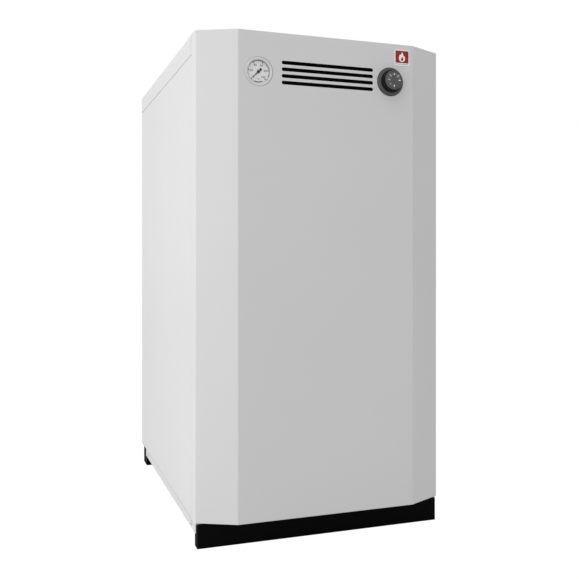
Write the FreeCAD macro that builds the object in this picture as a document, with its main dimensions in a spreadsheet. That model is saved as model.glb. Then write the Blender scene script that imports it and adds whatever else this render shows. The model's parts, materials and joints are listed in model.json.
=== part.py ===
import FreeCAD, Part
import math
import os
import re

import Sketcher

# Floor-standing atmospheric gas boiler with a chamfered, hinged front door.
# Every sub-part is drawn in casing coordinates: x to the right, y back from the door's
# front face, z up from the floor. Its Placement then moves it by front_y, which puts the
# origin under the middle of the overall box.

DIMENSIONS = {
    # casing
    "case_w": 505, "case_d": 700, "case_top": 960, "base_top": 46, "sheet_g": 1.2,
    "chamfer_w": 73, "chamfer_d": 35, "door_d": 68, "door_gap": 2, "door_lift": 1.8,
    "door_drop": 0.6, "bend_rad": 3, "flange_w": 25, "foot_w": 18, "shelf_w": 15,
    "lid_skirt": 38, "seam_gap": 1.5, "foot_gap": 1.5, "joggle": 2.4, "panel_back": 698.5, "rail_inset": 2.5,
    "tray_front": 37, "rail_front": 42, "rail_end": 640.5, "rail_h": 20, "rail_bend": 2,
    "mouth_w": 240, "mouth_y0": 200, "mouth_y1": 590, "plinth_g": 1.5, "plinth_inset": 4.3,
    "plinth_front": 33, "plinth_deep": 22, "rear_plinth_y": 642, "rear_plinth_deep": 47, "ear_len": 34,
    "ear_z": 28, "shield_z": 20, "shield_w": 300, "shield_y0": 180, "shield_y1": 610,
    "shield_g": 1, "shield_post": 4, "tray_slot_w": 8, "tray_slot_y0": 90, "tray_slot_y1": 150,
    "tray_pitch": 32, "louvre_x": 165, "louvre_z": 800, "louvre_len": 70, "louvre_h": 8,
    "louvre_pitch": 20,
    # fasteners
    "screw_rad": 1.8, "screw_hole": 2.1, "screw_head": 4, "head_h": 2.2, "screw_len": 8,
    "rail_screw_z": 36.5, "rail_screw_y0": 75, "rail_screw_y1": 606,
    # openings and fittings on the door's face
    "face_z": 884.2, "gauge_x": -139.4, "gauge_hole": 27.4, "dial_knob_x": 129.8,
    "dial_knob_hole": 28.2, "vent_x": -1, "vent_len": 188, "vent_h": 7, "vent_pitch": 12.5,
    "vent_low": 866.8, "badge_w": 32, "badge_h": 32, "badge_x": 155.3, "badge_z": 933.4,
    "badge_g": 0.8,
    # hinge and catches
    "hinge_x": -246.5, "hinge_y": 57, "hinge_pin": 2.5, "pin_play": 0.05,
    "hinge_plate_g": 2, "catch_low": 240, "catch_high": 720, "catch_h": 40,
    "catch_y": 60.5, "strike_y": 58.5, "strike_g": 1.5, "strike_w": 27, "strike_leg": 16,
    "hinge_plate_w": 22, "hinge_plate_end": 112, "hinge_pin_drop": 9, "hinge_shoulder": 4.8,
    # controls
    "bracket_y": 8, "bracket_x": 190, "bracket_foot": 237, "bracket_z": 850,
    "bracket_h": 75, "foot_screw_x": 232,
    "gauge_rad": 26.7, "gauge_proud": 0.6, "gauge_flange": 30, "bezel_edge": 0.9,
    "lens_rad": 22.6, "lens_y": 0.7, "lens_g": 1.4, "gauge_body": 24.5, "arbor_rad": 1,
    "gauge_back": 32, "needle_y": 3.2, "dial_y": 4.9, "dial_g": 0.6, "knob_skirt": 27, "knob_grip": 21.9,
    "knob_tip": 18.4, "knob_proud": 18.2, "skirt_proud": 3.5, "knob_back": 2.4,
    "spindle_rad": 3, "stat_w": 44, "stat_h": 38, "stat_d": 26, "pocket_z": 740,
    "pocket_rad": 8, "pocket_head": 138, "pocket_end": 228, "bulb_rad": 3, "bulb_x": 3.2,
    "lead_front": 86,
    # gas train
    "gas_x": 226, "gas_z": 330, "gas_y": 115, "gas_rad": 13.4, "gas_thread": 13.2, "nut_rad": 22,
    "gas_bore": 11, "gas_bend": 38, "thread_len": 16, "supply_rad": 10, "supply_bend": 22,
    "boss_rad": 17, "boss_out": 8, "valve_x": 90, "valve_w": 90, "valve_h": 64,
    "valve_y": 92, "valve_deep": 48, "tap_x": 68, "tap_rad": 18, "tap_front": 58,
    "tap_len": 20, "spindle_push": 4, "rail_y": 146, "rail_g": 2, "valve_rail_x": 226,
    "valve_rail_z": 372, "valve_rail_h": 40, "piezo_x": -70, "piezo_z": 342,
    "piezo_rad": 9, "button_rad": 6, "burner_z": 150, "burner_pitch": 70,
    "burner_rad": 22, "burner_mouth": 149, "burner_throat": 190, "burner_full": 250,
    "burner_end": 580, "port_y": 262, "port_pitch": 22, "manifold_x": 140, "plate_y": 170,
    "plate_g": 2, "plate_w": 336, "plate_z0": 70, "plate_z1": 355, "stud_rad": 2.9,
    "throat_rad": 12, "cone_rad": 14, "air_hole": 15.5, "port_w": 18, "port_len": 3, "jet_rad": 4,
    "collar_rad": 7.5, "jet_len": 8, "tap_boss": 13, "cover_h": 48, "lead_boss": 6,
    "sight_x": -80, "sight_z": 245, "sight_rad": 16, "flap_rise": 30, "pilot_z": 200,
    "pilot_side": 13, "valve_lead_1": 75, "valve_lead_2": 105,
    # heat exchanger
    "body_w": 350, "body_front": 175, "body_rear": 640, "body_z0": 80, "body_z1": 780,
    "wall_g": 3, "fire_w": 300, "fire_rear": 600, "fire_top": 340, "tube_rad": 28,
    "tube_pitch_x": 70, "tube_pitch_y": 120, "tube_first_y": 260, "strip_w": 40,
    "wool_g": 25, "wool_top": 775, "water_x": -110, "flow_z": 700, "return_z": 160,
    "water_rad": 30.15, "water_thread": 29.8, "water_bore": 26.5, "water_thread_len": 30,
    "pipe_end": 750,
    # flue
    "hood_w": 330, "hood_front": 195, "hood_shoulder": 835, "hood_slope_y": 400,
    "hood_top": 940, "hood_rear": 691.2, "relief_y": 645, "relief_z": 790,
    "flue_z": 862, "flue_rad": 69.5, "flue_bead": 72, "flue_end": 766, "flue_len": 60,
    "sensor_y": 668, "sensor_z": 815, "sensor_lead_x": -218, "sensor_lead_z": 440,
}

# The overall box runs from the dial knob's face to the flue spigot's end.
DIMENSIONS["front_y"] = -(DIMENSIONS["flue_end"] - DIMENSIONS["knob_proud"]) / 2

doc = FreeCAD.newDocument("gas_boiler")
sheet = doc.addObject("Spreadsheet::Sheet", "Sheet")
for row, (alias, number) in enumerate(DIMENSIONS.items(), start=1):
    sheet.set(f"A{row}", alias)
    sheet.set(f"B{row}", str(number))
    sheet.setAlias(f"B{row}", alias)
probe = doc.addObject("App::FeaturePython", "probe")
probe.addProperty("App::PropertyFloat", "answer")
doc.recompute()

PARTS = []
WORD = re.compile(r"[a-z_][a-z_0-9]*")
PLANES = {"XY": "XY_Plane", "XZ": "XZ_Plane", "YZ": "YZ_Plane"}


def bound(formula):
    """The formula as a FreeCAD expression that reads the spreadsheet."""
    return WORD.sub(lambda m: f"Sheet.{m[0]}" if m[0] in DIMENSIONS else m[0], str(formula))


def val(formula):
    """The formula's value in millimetres, worked out by the document itself."""
    probe.setExpression("answer", bound(formula))
    probe.recompute()
    return probe.answer


def bind(obj, **formulas):
    """Binds an object's properties to spreadsheet formulas."""
    for name, formula in formulas.items():
        obj.setExpression(name, bound(formula))
    return obj


def part(obj, label):
    """Makes an object one of the boiler's named sub-parts, moved so that the origin is under it."""
    if obj.TypeId in ("Part::Box", "Part::Cylinder"):
        obj = group(obj)
    obj.Label = label
    obj.setExpression(".Placement.Base.y", bound("front_y"))
    PARTS.append(obj)
    return obj


# ---------- primitives and booleans ----------

def block(x, y, z):
    """A Part::Box between two formulas along each axis."""
    box = doc.addObject("Part::Box", "block")
    for length, axis, (low, high) in zip(("Length", "Width", "Height"), "xyz", (x, y, z)):
        box.setExpression(length, bound(f"({high}) - ({low})"))
        box.setExpression(f".Placement.Base.{axis}", bound(low))
    return box


TURNS = {
    "x": FreeCAD.Rotation(FreeCAD.Vector(0, 1, 0), 90),
    "y": FreeCAD.Rotation(FreeCAD.Vector(1, 0, 0), -90),
    "z": FreeCAD.Rotation(),
}


def along(obj, axis, start, centre):
    """Turns a round primitive to an axis; centre gives its other two coordinates in x, y, z order."""
    obj.Placement.Rotation = TURNS[axis]
    spots = list(centre)
    spots.insert("xyz".index(axis), start)
    for name, spot in zip("xyz", spots):
        obj.setExpression(f".Placement.Base.{name}", bound(spot))
    return obj


def rod(axis, centre, radius, start, end):
    cylinder = doc.addObject("Part::Cylinder", "rod")
    bind(cylinder, Radius=radius, Height=f"({end}) - ({start})")
    return along(cylinder, axis, start, centre)


def taper(axis, centre, radius_1, radius_2, start, end):
    cone = doc.addObject("Part::Cone", "taper")
    bind(cone, Radius1=radius_1, Radius2=radius_2, Height=f"({end}) - ({start})")
    return along(cone, axis, start, centre)


def hexagon(axis, centre, radius, start, end):
    prism = doc.addObject("Part::Prism", "hexagon")
    prism.Polygon = 6
    bind(prism, Circumradius=radius, Height=f"({end}) - ({start})")
    return along(prism, axis, start, centre)


def fuse(*shapes):
    if len(shapes) == 1:
        return shapes[0]
    joined = doc.addObject("Part::MultiFuse", "fuse")
    joined.Shapes = list(shapes)
    joined.Refine = True
    return joined


def cut(base, *tools):
    result = doc.addObject("Part::Cut", "cut")
    result.Base = base
    result.Tool = fuse(*tools)
    return result


def group(*shapes):
    """Separate solids in one node."""
    result = doc.addObject("Part::Compound", "group")
    result.Links = list(shapes)
    return result


def ring(axis, centre, outer, inner, start, end):
    return cut(rod(axis, centre, outer, start, end), rod(axis, centre, inner, f"{start} - 1", f"{end} + 1"))


# ---------- PartDesign bodies ----------

def new_body():
    return doc.addObject("PartDesign::Body", "body")


def sketch_on(body, plane, start):
    """A sketch on one of the body's own planes, moved along the plane's axis to start."""
    sketch = body.newObject("Sketcher::SketchObject", "sketch")
    origin = next(f for f in body.Origin.OriginFeatures if f.Role == PLANES[plane])
    sketch.AttachmentSupport = (origin, [""])
    sketch.MapMode = "FlatFace"
    sign = "-" if plane == "XZ" else ""
    sketch.setExpression("AttachmentOffset.Base.z", bound(f"{sign}({start})"))
    return sketch


def pin_point(sketch, geo, pos, name, point):
    """Fixes a point of the sketch at two formulas, as named constraints bound to the sheet."""
    for kind, letter, formula in zip(("DistanceX", "DistanceY"), "uv", point):
        index = sketch.addConstraint(Sketcher.Constraint(kind, -1, 1, geo, pos, val(formula)))
        sketch.renameConstraint(index, f"{name}{letter}")
        sketch.setExpression(f"Constraints.{name}{letter}", bound(formula))


def pin_radius(sketch, geo, name, formula):
    index = sketch.addConstraint(Sketcher.Constraint("Radius", geo, val(formula)))
    sketch.renameConstraint(index, name)
    sketch.setExpression(f"Constraints.{name}", bound(formula))


def polygon(sketch, points):
    """A closed outline of straight lines."""
    spots = [FreeCAD.Vector(val(u), val(v), 0) for u, v in points]
    first = len(sketch.Geometry)
    count = len(spots)
    for i in range(count):
        sketch.addGeometry(Part.LineSegment(spots[i], spots[(i + 1) % count]), False)
    for i in range(count):
        following = first + (i + 1) % count
        sketch.addConstraint(Sketcher.Constraint("Coincident", first + i, 2, following, 1))
    for i in range(count):
        pin_point(sketch, first + i, 1, f"p{first + i}", points[i])


def circle(sketch, centre, radius):
    middle = FreeCAD.Vector(val(centre[0]), val(centre[1]), 0)
    geo = sketch.addGeometry(Part.Circle(middle, FreeCAD.Vector(0, 0, 1), val(radius)), False)
    pin_point(sketch, geo, 3, f"c{geo}", centre)
    pin_radius(sketch, geo, f"r{geo}", radius)


def slot(sketch, centre, length, height):
    """A slot with round ends, lying along the sketch's first axis."""
    rad = val(height) / 2
    up, across = FreeCAD.Vector(0, 0, 1), FreeCAD.Vector(0, rad, 0)
    middle = FreeCAD.Vector(val(centre[0]), val(centre[1]), 0)
    half = FreeCAD.Vector(val(length) / 2 - rad, 0, 0)
    left, right = middle - half, middle + half
    top = sketch.addGeometry(Part.LineSegment(left + across, right + across), False)
    low = sketch.addGeometry(Part.LineSegment(left - across, right - across), False)
    quarter = math.pi / 2
    arc_right = sketch.addGeometry(Part.ArcOfCircle(Part.Circle(right, up, rad), -quarter, quarter), False)
    arc_left = sketch.addGeometry(Part.ArcOfCircle(Part.Circle(left, up, rad), quarter, 3 * quarter), False)
    ends = ((top, 2, arc_right, 2), (low, 2, arc_right, 1), (top, 1, arc_left, 1), (low, 1, arc_left, 2))
    for line, line_end, arc, arc_end in ends:
        sketch.addConstraint(Sketcher.Constraint("Coincident", line, line_end, arc, arc_end))
        sketch.addConstraint(Sketcher.Constraint("Vertical", arc, 3, arc, arc_end))
    for arc, sign in ((arc_right, "+"), (arc_left, "-")):
        spot = (f"{centre[0]} {sign} ({length} - {height})/2", centre[1])
        pin_point(sketch, arc, 3, f"c{arc}", spot)
        pin_radius(sketch, arc, f"r{arc}", f"{height}/2")


def extrude(body, sketch, plane, length, cutting=False):
    """Pads or pockets a sketch along its plane's positive axis, by length."""
    feature = body.newObject("PartDesign::Pocket" if cutting else "PartDesign::Pad", "feature")
    feature.Profile = sketch
    feature.Reversed = (plane == "XZ") != cutting
    bind(feature, Length=length)
    doc.recompute()
    return feature


def pad(body, plane, start, end, points):
    sketch = sketch_on(body, plane, start)
    polygon(sketch, points)
    return extrude(body, sketch, plane, f"({end}) - ({start})")


def pocket(body, plane, start, end, points):
    sketch = sketch_on(body, plane, start)
    polygon(sketch, points)
    return extrude(body, sketch, plane, f"({end}) - ({start})", cutting=True)


def drill(body, plane, start, end, holes):
    """Round holes, each given as ((u, v), radius)."""
    sketch = sketch_on(body, plane, start)
    for centre, radius in holes:
        circle(sketch, centre, radius)
    return extrude(body, sketch, plane, f"({end}) - ({start})", cutting=True)


def revolve(body, points, centre):
    """Turns an outline of (radius, y) about a line along y at centre (x, z)."""
    sketch = sketch_on(body, "XY", centre[1])
    sketch.setExpression("AttachmentOffset.Base.x", bound(centre[0]))
    polygon(sketch, points)
    feature = body.newObject("PartDesign::Revolution", "turned")
    feature.Profile = sketch
    feature.ReferenceAxis = (sketch, ["V_Axis"])
    feature.Angle = 360
    doc.recompute()
    return feature


def rectangle(u, v):
    return [(u[0], v[0]), (u[1], v[0]), (u[1], v[1]), (u[0], v[1])]


def centred(width):
    """The stretch of that width about zero."""
    return f"-({width})/2", f"({width})/2"


def mirrored(sign, near_x, far_x):
    """The stretch from near_x to far_x, on the left side when sign is a minus."""
    return (f"-({far_x})", f"-({near_x})") if sign else (near_x, far_x)


def ladder(body, plane, start, end, centre, length, height, pitch, count):
    """A row of equal round-ended slots, one above another."""
    sketch = sketch_on(body, plane, start)
    slot(sketch, centre, length, height)
    first = extrude(body, sketch, plane, f"({end}) - ({start})", cutting=True)
    pattern = body.newObject("PartDesign::LinearPattern", "row")
    pattern.Originals = [first]
    pattern.Direction = (sketch, ["V_Axis"])
    pattern.Occurrences = count
    bind(pattern, Length=f"({pitch})*{count - 1}")
    body.Tip = pattern
    doc.recompute()
    return pattern


def round_edges(body, radius, wanted):
    """Fillets the edges of the body's tip whose middle point and direction are wanted."""
    base = body.Tip
    names = []
    for number, edge in enumerate(base.Shape.Edges, start=1):
        middle = edge.valueAt((edge.FirstParameter + edge.LastParameter) / 2)
        direction = edge.tangentAt(edge.FirstParameter)
        if wanted(middle, direction):
            names.append(f"Edge{number}")
    feature = body.newObject("PartDesign::Fillet", "rounded")
    feature.Base = (base, names)
    bind(feature, Radius=radius)
    doc.recompute()
    return feature


def near(a, b, tolerance=0.05):
    return abs(a - b) < tolerance


# ---------- routed tubes ----------

def route(points, bend):
    """A wire of straight runs joined by tangent arcs of one radius."""
    spots = [FreeCAD.Vector(*point) for point in points]
    edges, here = [], spots[0]
    for before, corner, after in zip(spots, spots[1:], spots[2:]):
        back, on = (before - corner).normalize(), (after - corner).normalize()
        half = back.getAngle(on) / 2
        reach = bend / math.tan(half)
        start, end = corner + back * reach, corner + on * reach
        middle = corner + (back + on).normalize() * (bend / math.sin(half) - bend)
        edges += [Part.LineSegment(here, start).toShape(), Part.Arc(start, middle, end).toShape()]
        here = end
    edges.append(Part.LineSegment(here, spots[-1]).toShape())
    return Part.Wire(edges)


def tube_shape(points, bend, radius):
    """A round bar swept along a route."""
    wire = route(points, bend)
    first = wire.Edges[0]
    at, way = first.valueAt(first.FirstParameter), first.tangentAt(first.FirstParameter)
    section = Part.Wire([Part.Circle(at, way, radius).toShape()])
    return wire.makePipeShell([section], True, False)


def shaped(shape):
    """A Part::Feature for a shape made with Part's own functions."""
    feature = doc.addObject("Part::Feature", "shaped")
    feature.Shape = shape
    return feature


# ---------- casing ----------

def front_door():
    """Folded pan: flat face, a chamfer each side, returns, and a flange at top and bottom."""
    low, high = "base_top + door_lift", "case_top - door_drop"
    slope = "sqrt(chamfer_w*chamfer_w + chamfer_d*chamfer_d)"
    outer = [("-case_w/2", "door_d"), ("-case_w/2", "chamfer_d"), ("-case_w/2 + chamfer_w", "0"),
             ("case_w/2 - chamfer_w", "0"), ("case_w/2", "chamfer_d"), ("case_w/2", "door_d")]
    corner_y = f"chamfer_d*(1 - sheet_g/chamfer_w) + sheet_g*{slope}/chamfer_w"
    face_x = f"case_w/2 - chamfer_w - sheet_g*({slope} - chamfer_w)/chamfer_d"
    wall = "case_w/2 - sheet_g"
    inner = [(f"-({wall})", "door_d + 1"), (f"-({wall})", corner_y), (f"-({face_x})", "sheet_g"),
             (face_x, "sheet_g"), (wall, corner_y), (wall, "door_d + 1")]
    body = new_body()
    pad(body, "XY", low, high, outer)
    pocket(body, "XY", f"{low} + sheet_g", f"{high} - sheet_g", inner)
    round_edges(body, "bend_rad", on_vertical_bend)
    round_edges(body, "sheet_g*0.8", lambda middle, way: on_door_rim(middle, way, val(low), val(high)))
    drill(body, "XZ", "-1", "sheet_g + 1", [(("gauge_x", "face_z"), "gauge_hole"),
                                            (("dial_knob_x", "face_z"), "dial_knob_hole")])
    ladder(body, "XZ", "-1", "sheet_g + 1", ("vent_x", "vent_low"), "vent_len", "vent_h", "vent_pitch", 4)
    drill(body, "XY", f"{low} - 1", f"{high} + 1", [(("hinge_x", "hinge_y"), "hinge_pin + pin_play")])
    part(body, "front_door")


def on_vertical_bend(middle, way):
    """True on the pan's four outer upright bends."""
    at_face = near(middle.y, 0) and near(abs(middle.x), val("case_w/2 - chamfer_w"))
    at_side = near(middle.y, val("chamfer_d")) and near(abs(middle.x), val("case_w/2"))
    return near(abs(way.z), 1) and (at_face or at_side)


def on_door_rim(middle, way, low, high):
    """True on the pan's outer skin where it turns into its top and bottom flanges."""
    if not near(way.z, 0) or not (near(middle.z, low) or near(middle.z, high)):
        return False
    reach = val("case_w/2") - abs(middle.x)
    skin_y = max(0, val("chamfer_d") * (1 - reach / val("chamfer_w")))
    on_side = near(reach, 0, 0.3) and middle.y < val("door_d") - 0.5
    return on_side or near(middle.y, skin_y, 0.4)


def strike_plates():
    """Angle plates inside the door's free edge, which the magnets hold."""
    wall = "case_w/2 - sheet_g"
    plates = []
    for low in ("catch_low", "catch_high"):
        height = (f"{low} - 5", f"{low} + catch_h + 5")
        leg = block((f"{wall} - strike_g", wall), ("strike_y - strike_leg", "strike_y"), height)
        face = block((f"{wall} - strike_w", wall), ("strike_y", "strike_y + strike_g"), height)
        plates.append(fuse(leg, face))
    part(group(*plates), "door_strike_plates")


def badge_plate():
    """Small square plate at the face's top right corner."""
    body = new_body()
    width = ("badge_x - badge_w/2", "badge_x + badge_w/2")
    pad(body, "XZ", "-badge_g", "0", rectangle(width, ("badge_z - badge_h/2", "badge_z + badge_h/2")))
    round_edges(body, "1.5", lambda middle, way: near(abs(way.y), 1))
    part(body, "badge_plate")


HINGE_SCREWS = [("-case_w/2 + 9.5", "door_d + 18"), ("-case_w/2 + 9.5", "door_d + 36")]


def top_lid():
    """Lid with skirts at the sides and back and a short lip behind the door."""
    front, under = "door_d + door_gap", "case_top - lid_skirt"
    inside = centred("case_w - 2*sheet_g")
    body = new_body()
    pad(body, "XY", under, "case_top", rectangle(centred("case_w"), (front, "case_d")))
    pocket(body, "XY", f"{under} - 1", "case_top - sheet_g",
           rectangle(inside, (f"{front} + sheet_g", "case_d - sheet_g")))
    pocket(body, "XY", f"{under} - 1", "case_top - lid_skirt/2",
           rectangle(inside, (f"{front} - 1", f"{front} + sheet_g + 1")))
    round_edges(body, "sheet_g*1.6", on_lid_bend)
    holes = [(spot, "screw_hole") for spot in HINGE_SCREWS]
    drill(body, "XY", "case_top - sheet_g - 1", "case_top + 1", holes)
    drill(body, "XZ", "case_d - sheet_g - 1", "case_d + 1", [(("0", "flue_z"), "flue_bead + 1.5")])
    part(body, "top_lid")


def on_lid_bend(middle, way):
    """True on the lid's outer bends, but not on its front edge behind the door."""
    at_top = near(middle.z, val("case_top")) and not near(middle.y, val("door_d + door_gap"))
    at_corner = near(middle.y, val("case_d")) and near(abs(middle.x), val("case_w/2"))
    return at_top or (at_corner and near(abs(way.z), 1))


BRACKET_SCREWS_Z = ("bracket_z + 15", "bracket_z + 60")
REAR_SCREWS_Z = ("90", "470", "880")
REAR_SCREW_X = "case_w/2 - 12"


def side_panel(label, sign):
    """Side wall, stepped in at the top to tuck under the lid's skirt, with flanges all round.

    Its front and rear flanges stand on the tray, and hold its lower edge just clear of it.
    """
    out, shelf = "case_w/2", "case_top - lid_skirt - seam_gap"
    foot, head = "base_top + foot_gap", "case_top - sheet_g"
    step = f"{out} - joggle"
    section = [(out, foot), (out, shelf), (step, shelf), (step, head), (f"{step} - shelf_w", head),
               (f"{step} - shelf_w", f"{head} - sheet_g"), (f"{step} - sheet_g", f"{head} - sheet_g"),
               (f"{step} - sheet_g", f"{shelf} - sheet_g"), (f"{out} - sheet_g", f"{shelf} - sheet_g"),
               (f"{out} - sheet_g", f"{foot} + sheet_g"), (f"{out} - foot_w", f"{foot} + sheet_g"),
               (f"{out} - foot_w", foot)]
    front, back = "door_d + door_gap", "panel_back - sheet_g"
    body = new_body()
    pad(body, "XZ", front, back, [(f"{sign}({u})", v) for u, v in section])
    flange_x = mirrored(sign, f"{out} - flange_w", f"{out} - sheet_g/2")
    flange = rectangle(flange_x, ("base_top", f"{shelf} - sheet_g/2"))
    pad(body, "XZ", front, f"{front} + sheet_g", flange)
    pad(body, "XZ", f"{back} - sheet_g", back, flange)
    corner = val(out)
    round_edges(body, "sheet_g*0.9", lambda middle, way: near(abs(way.z), 1) and near(abs(middle.x), corner))
    front_holes = [((f"{sign}(foot_screw_x)", z), "screw_hole") for z in BRACKET_SCREWS_Z]
    drill(body, "XZ", f"{front} - 1", f"{front} + sheet_g + 1", front_holes)
    rear_holes = [((f"{sign}({REAR_SCREW_X})", z), "screw_hole") for z in REAR_SCREWS_Z]
    rear_holes.append(((f"{sign}(gas_x)", "gas_z"), "gas_rad + 2.5"))
    drill(body, "XZ", f"{back} - sheet_g - 1", f"{back} + 1", rear_holes)
    lip_x = mirrored(sign, f"{step} - shelf_w - 1", f"{step} + 1")
    lip_room = rectangle(lip_x, (f"{front} - 1", f"{front} + 1.5"))
    pocket(body, "XY", f"{shelf} + 0.01", f"{head} + 1", lip_room)
    shelf_holes = [((f"{sign}(-({x}))", y), "screw_hole") for x, y in HINGE_SCREWS]
    drill(body, "XY", f"{head} - sheet_g - 1", f"{head} + 1", shelf_holes)
    part(body, label)


def rear_panel():
    """Flat back with openings for the flue, the water pipes and the gas pipe, and louvre slots."""
    front, back = "panel_back - sheet_g", "panel_back"
    body = new_body()
    pad(body, "XZ", front, back, rectangle(centred("case_w - 3"), ("base_top", "case_top - 3*sheet_g")))
    holes = [(("0", "flue_z"), "flue_bead + 1.5"), (("water_x", "flow_z"), "water_rad + 3"),
             (("water_x", "return_z"), "water_rad + 3"), (("gas_x", "gas_z"), "gas_rad + 2.5")]
    holes += [((f"{sign}({REAR_SCREW_X})", z), "screw_hole") for sign in ("", "-") for z in REAR_SCREWS_Z]
    drill(body, "XZ", f"{front} - 1", f"{back} + 1", holes)
    for x in ("-louvre_x", "louvre_x"):
        ladder(body, "XZ", f"{front} - 1", f"{back} + 1", (x, "louvre_z"), "louvre_len", "louvre_h",
               "louvre_pitch", 6)
    part(body, "rear_panel")


def tray_slot(x):
    """Cutter for one of the air slots in the tray's front."""
    width = (f"{x} - tray_slot_w/2", f"{x} + tray_slot_w/2")
    return block(width, ("tray_slot_y0", "tray_slot_y1"), ("base_top - 5", "base_top + 5"))


def tray_side(sign):
    """Strip along one side of the tray, with its downturned rail."""
    side, level = "case_w/2 - rail_inset", ("base_top - sheet_g", "base_top")
    strip_x = mirrored(sign, "mouth_w/2", side)
    profile = [("mouth_w/2", level[0]), (f"{side} - sheet_g", level[0]),
               (f"{side} - sheet_g", "base_top - rail_h"), (side, "base_top - rail_h"),
               (side, "base_top"), ("mouth_w/2", "base_top")]
    rail = new_body()
    pad(rail, "XZ", "rail_front", "rail_end", [(f"{sign}({u})", v) for u, v in profile])
    x, z = val(side), val("base_top")
    round_edges(rail, "rail_bend", lambda middle, way: near(abs(middle.x), x) and near(middle.z, z))
    ends = [block(strip_x, reach, level)
            for reach in (("tray_front", "rail_front"), ("rail_end", "panel_back"))]
    holes = [rod("x", (y, "rail_screw_z"), "screw_hole", *mirrored(sign, f"{side} - 3", f"{side} + 3"))
             for y in ("rail_screw_y0", "rail_screw_y1")]
    holes += [tray_slot(f"{sign}{count}*tray_pitch") for count in (4, 5)]
    if sign:
        holes.append(rod("z", ("hinge_x", "hinge_y"), "hinge_pin", "base_top - 5", "base_top + 5"))
    return cut(fuse(rail, *ends), *holes)


def base_tray():
    """Floor of the casing: two side strips, and two plates between them around the air opening."""
    level = ("base_top - sheet_g", "base_top")
    front = block(centred("mouth_w"), ("tray_front", "mouth_y0"), level)
    rear = block(centred("mouth_w"), ("mouth_y1", "panel_back"), level)
    slots = [tray_slot(f"{count}*tray_pitch") for count in range(-3, 4)]
    part(group(tray_side("-"), tray_side(""), cut(front, *slots), rear), "base_tray")


def plinth(label, near_y, deep, ear_y, screw_y):
    """Black steel channel with closed ends, open at the back; its lower flange stands on the floor."""
    side, top = "case_w/2 - plinth_inset", "base_top - sheet_g"
    outer = block((f"-({side})", side), (near_y, f"{near_y} + {deep}"), ("0", top))
    hollow = block(centred(f"2*({side} - plinth_g)"), (f"{near_y} + plinth_g", f"{near_y} + {deep} + 1"),
                   ("plinth_g", f"{top} - plinth_g"))
    ears, holes = [], []
    for sign in ("-", ""):
        ears.append(block(mirrored(sign, f"{side} - plinth_g", side), ear_y, ("ear_z", top)))
        reach = mirrored(sign, f"{side} - 4", f"{side} + 1")
        holes.append(rod("x", (screw_y, "rail_screw_z"), "screw_hole", *reach))
    part(cut(fuse(cut(outer, hollow), *ears), *holes), label)


def radiation_shield():
    """Sheet hung under the tray's air opening, which keeps burner heat off the floor."""
    plate = block(centred("shield_w"), ("shield_y0", "shield_y1"), ("shield_z", "shield_z + shield_g"))
    posts = [rod("z", (x, y), "shield_post", "shield_z + shield_g", "base_top - sheet_g")
             for x in centred("shield_w - 30") for y in ("shield_y0 + 8", "shield_y1 - 8")]
    part(fuse(plate, *posts), "radiation_shield")


# ---------- hinge, catches and screws ----------

def top_hinge_plate():
    """Plate screwed on the lid, with the pin that drops into the door's upper flange."""
    over = "case_top + hinge_plate_g"
    plate = block(("hinge_x - 4", "hinge_x - 4 + hinge_plate_w"), ("hinge_y - 6", "hinge_plate_end"),
                  ("case_top", over))
    pin = rod("z", ("hinge_x", "hinge_y"), "hinge_pin", "case_top - hinge_pin_drop", over)
    holes = [rod("z", spot, "screw_hole", "case_top - 1", f"{over} + 1") for spot in HINGE_SCREWS]
    part(cut(fuse(plate, pin), *holes), "top_hinge_plate")


def lower_hinge_pin():
    """Shouldered pin pressed into the tray, on which the door turns."""
    spot = ("hinge_x", "hinge_y")
    shank = rod("z", spot, "hinge_pin", "base_top - sheet_g", "base_top + 10")
    shoulder = rod("z", spot, "hinge_shoulder", "base_top", "base_top + door_lift - 0.3")
    part(fuse(shank, shoulder), "lower_hinge_pin")


def magnetic_catches():
    """Two magnets on the right side panel's front flange."""
    depth = ("catch_y", "door_d + door_gap")
    catches = [block(("case_w/2 - 27", "case_w/2 - 8"), depth, (low, f"{low} + catch_h"))
               for low in ("catch_low", "catch_high")]
    part(group(*catches), "magnetic_catches")


def screw(axis, centre, seat, facing):
    """Pan-head screw: its head lies outside seat on the side that facing names."""
    if facing > 0:
        head = rod(axis, centre, "screw_head", seat, f"{seat} + head_h")
        shank = rod(axis, centre, "screw_rad", f"{seat} - screw_len", seat)
    else:
        head = rod(axis, centre, "screw_head", f"{seat} - head_h", seat)
        shank = rod(axis, centre, "screw_rad", seat, f"{seat} + screw_len")
    return fuse(head, shank)


def casing_screws():
    """The casing's screws: tray rails, rear panel, control bracket and top hinge plate."""
    screws = []
    for sign, facing in (("-", -1), ("", 1)):
        for y in ("rail_screw_y0", "rail_screw_y1"):
            screws.append(screw("x", (y, "rail_screw_z"), f"{sign}(case_w/2 - rail_inset)", facing))
        for z in REAR_SCREWS_Z:
            screws.append(screw("y", (f"{sign}({REAR_SCREW_X})", z), "panel_back", 1))
        for z in BRACKET_SCREWS_Z:
            screws.append(screw("y", (f"{sign}(foot_screw_x)", z), "door_d + door_gap - sheet_g", -1))
    for spot in HINGE_SCREWS:
        screws.append(screw("z", spot, "case_top + hinge_plate_g", 1))
    part(group(*screws), "casing_screws")


# ---------- controls behind the door ----------

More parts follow.
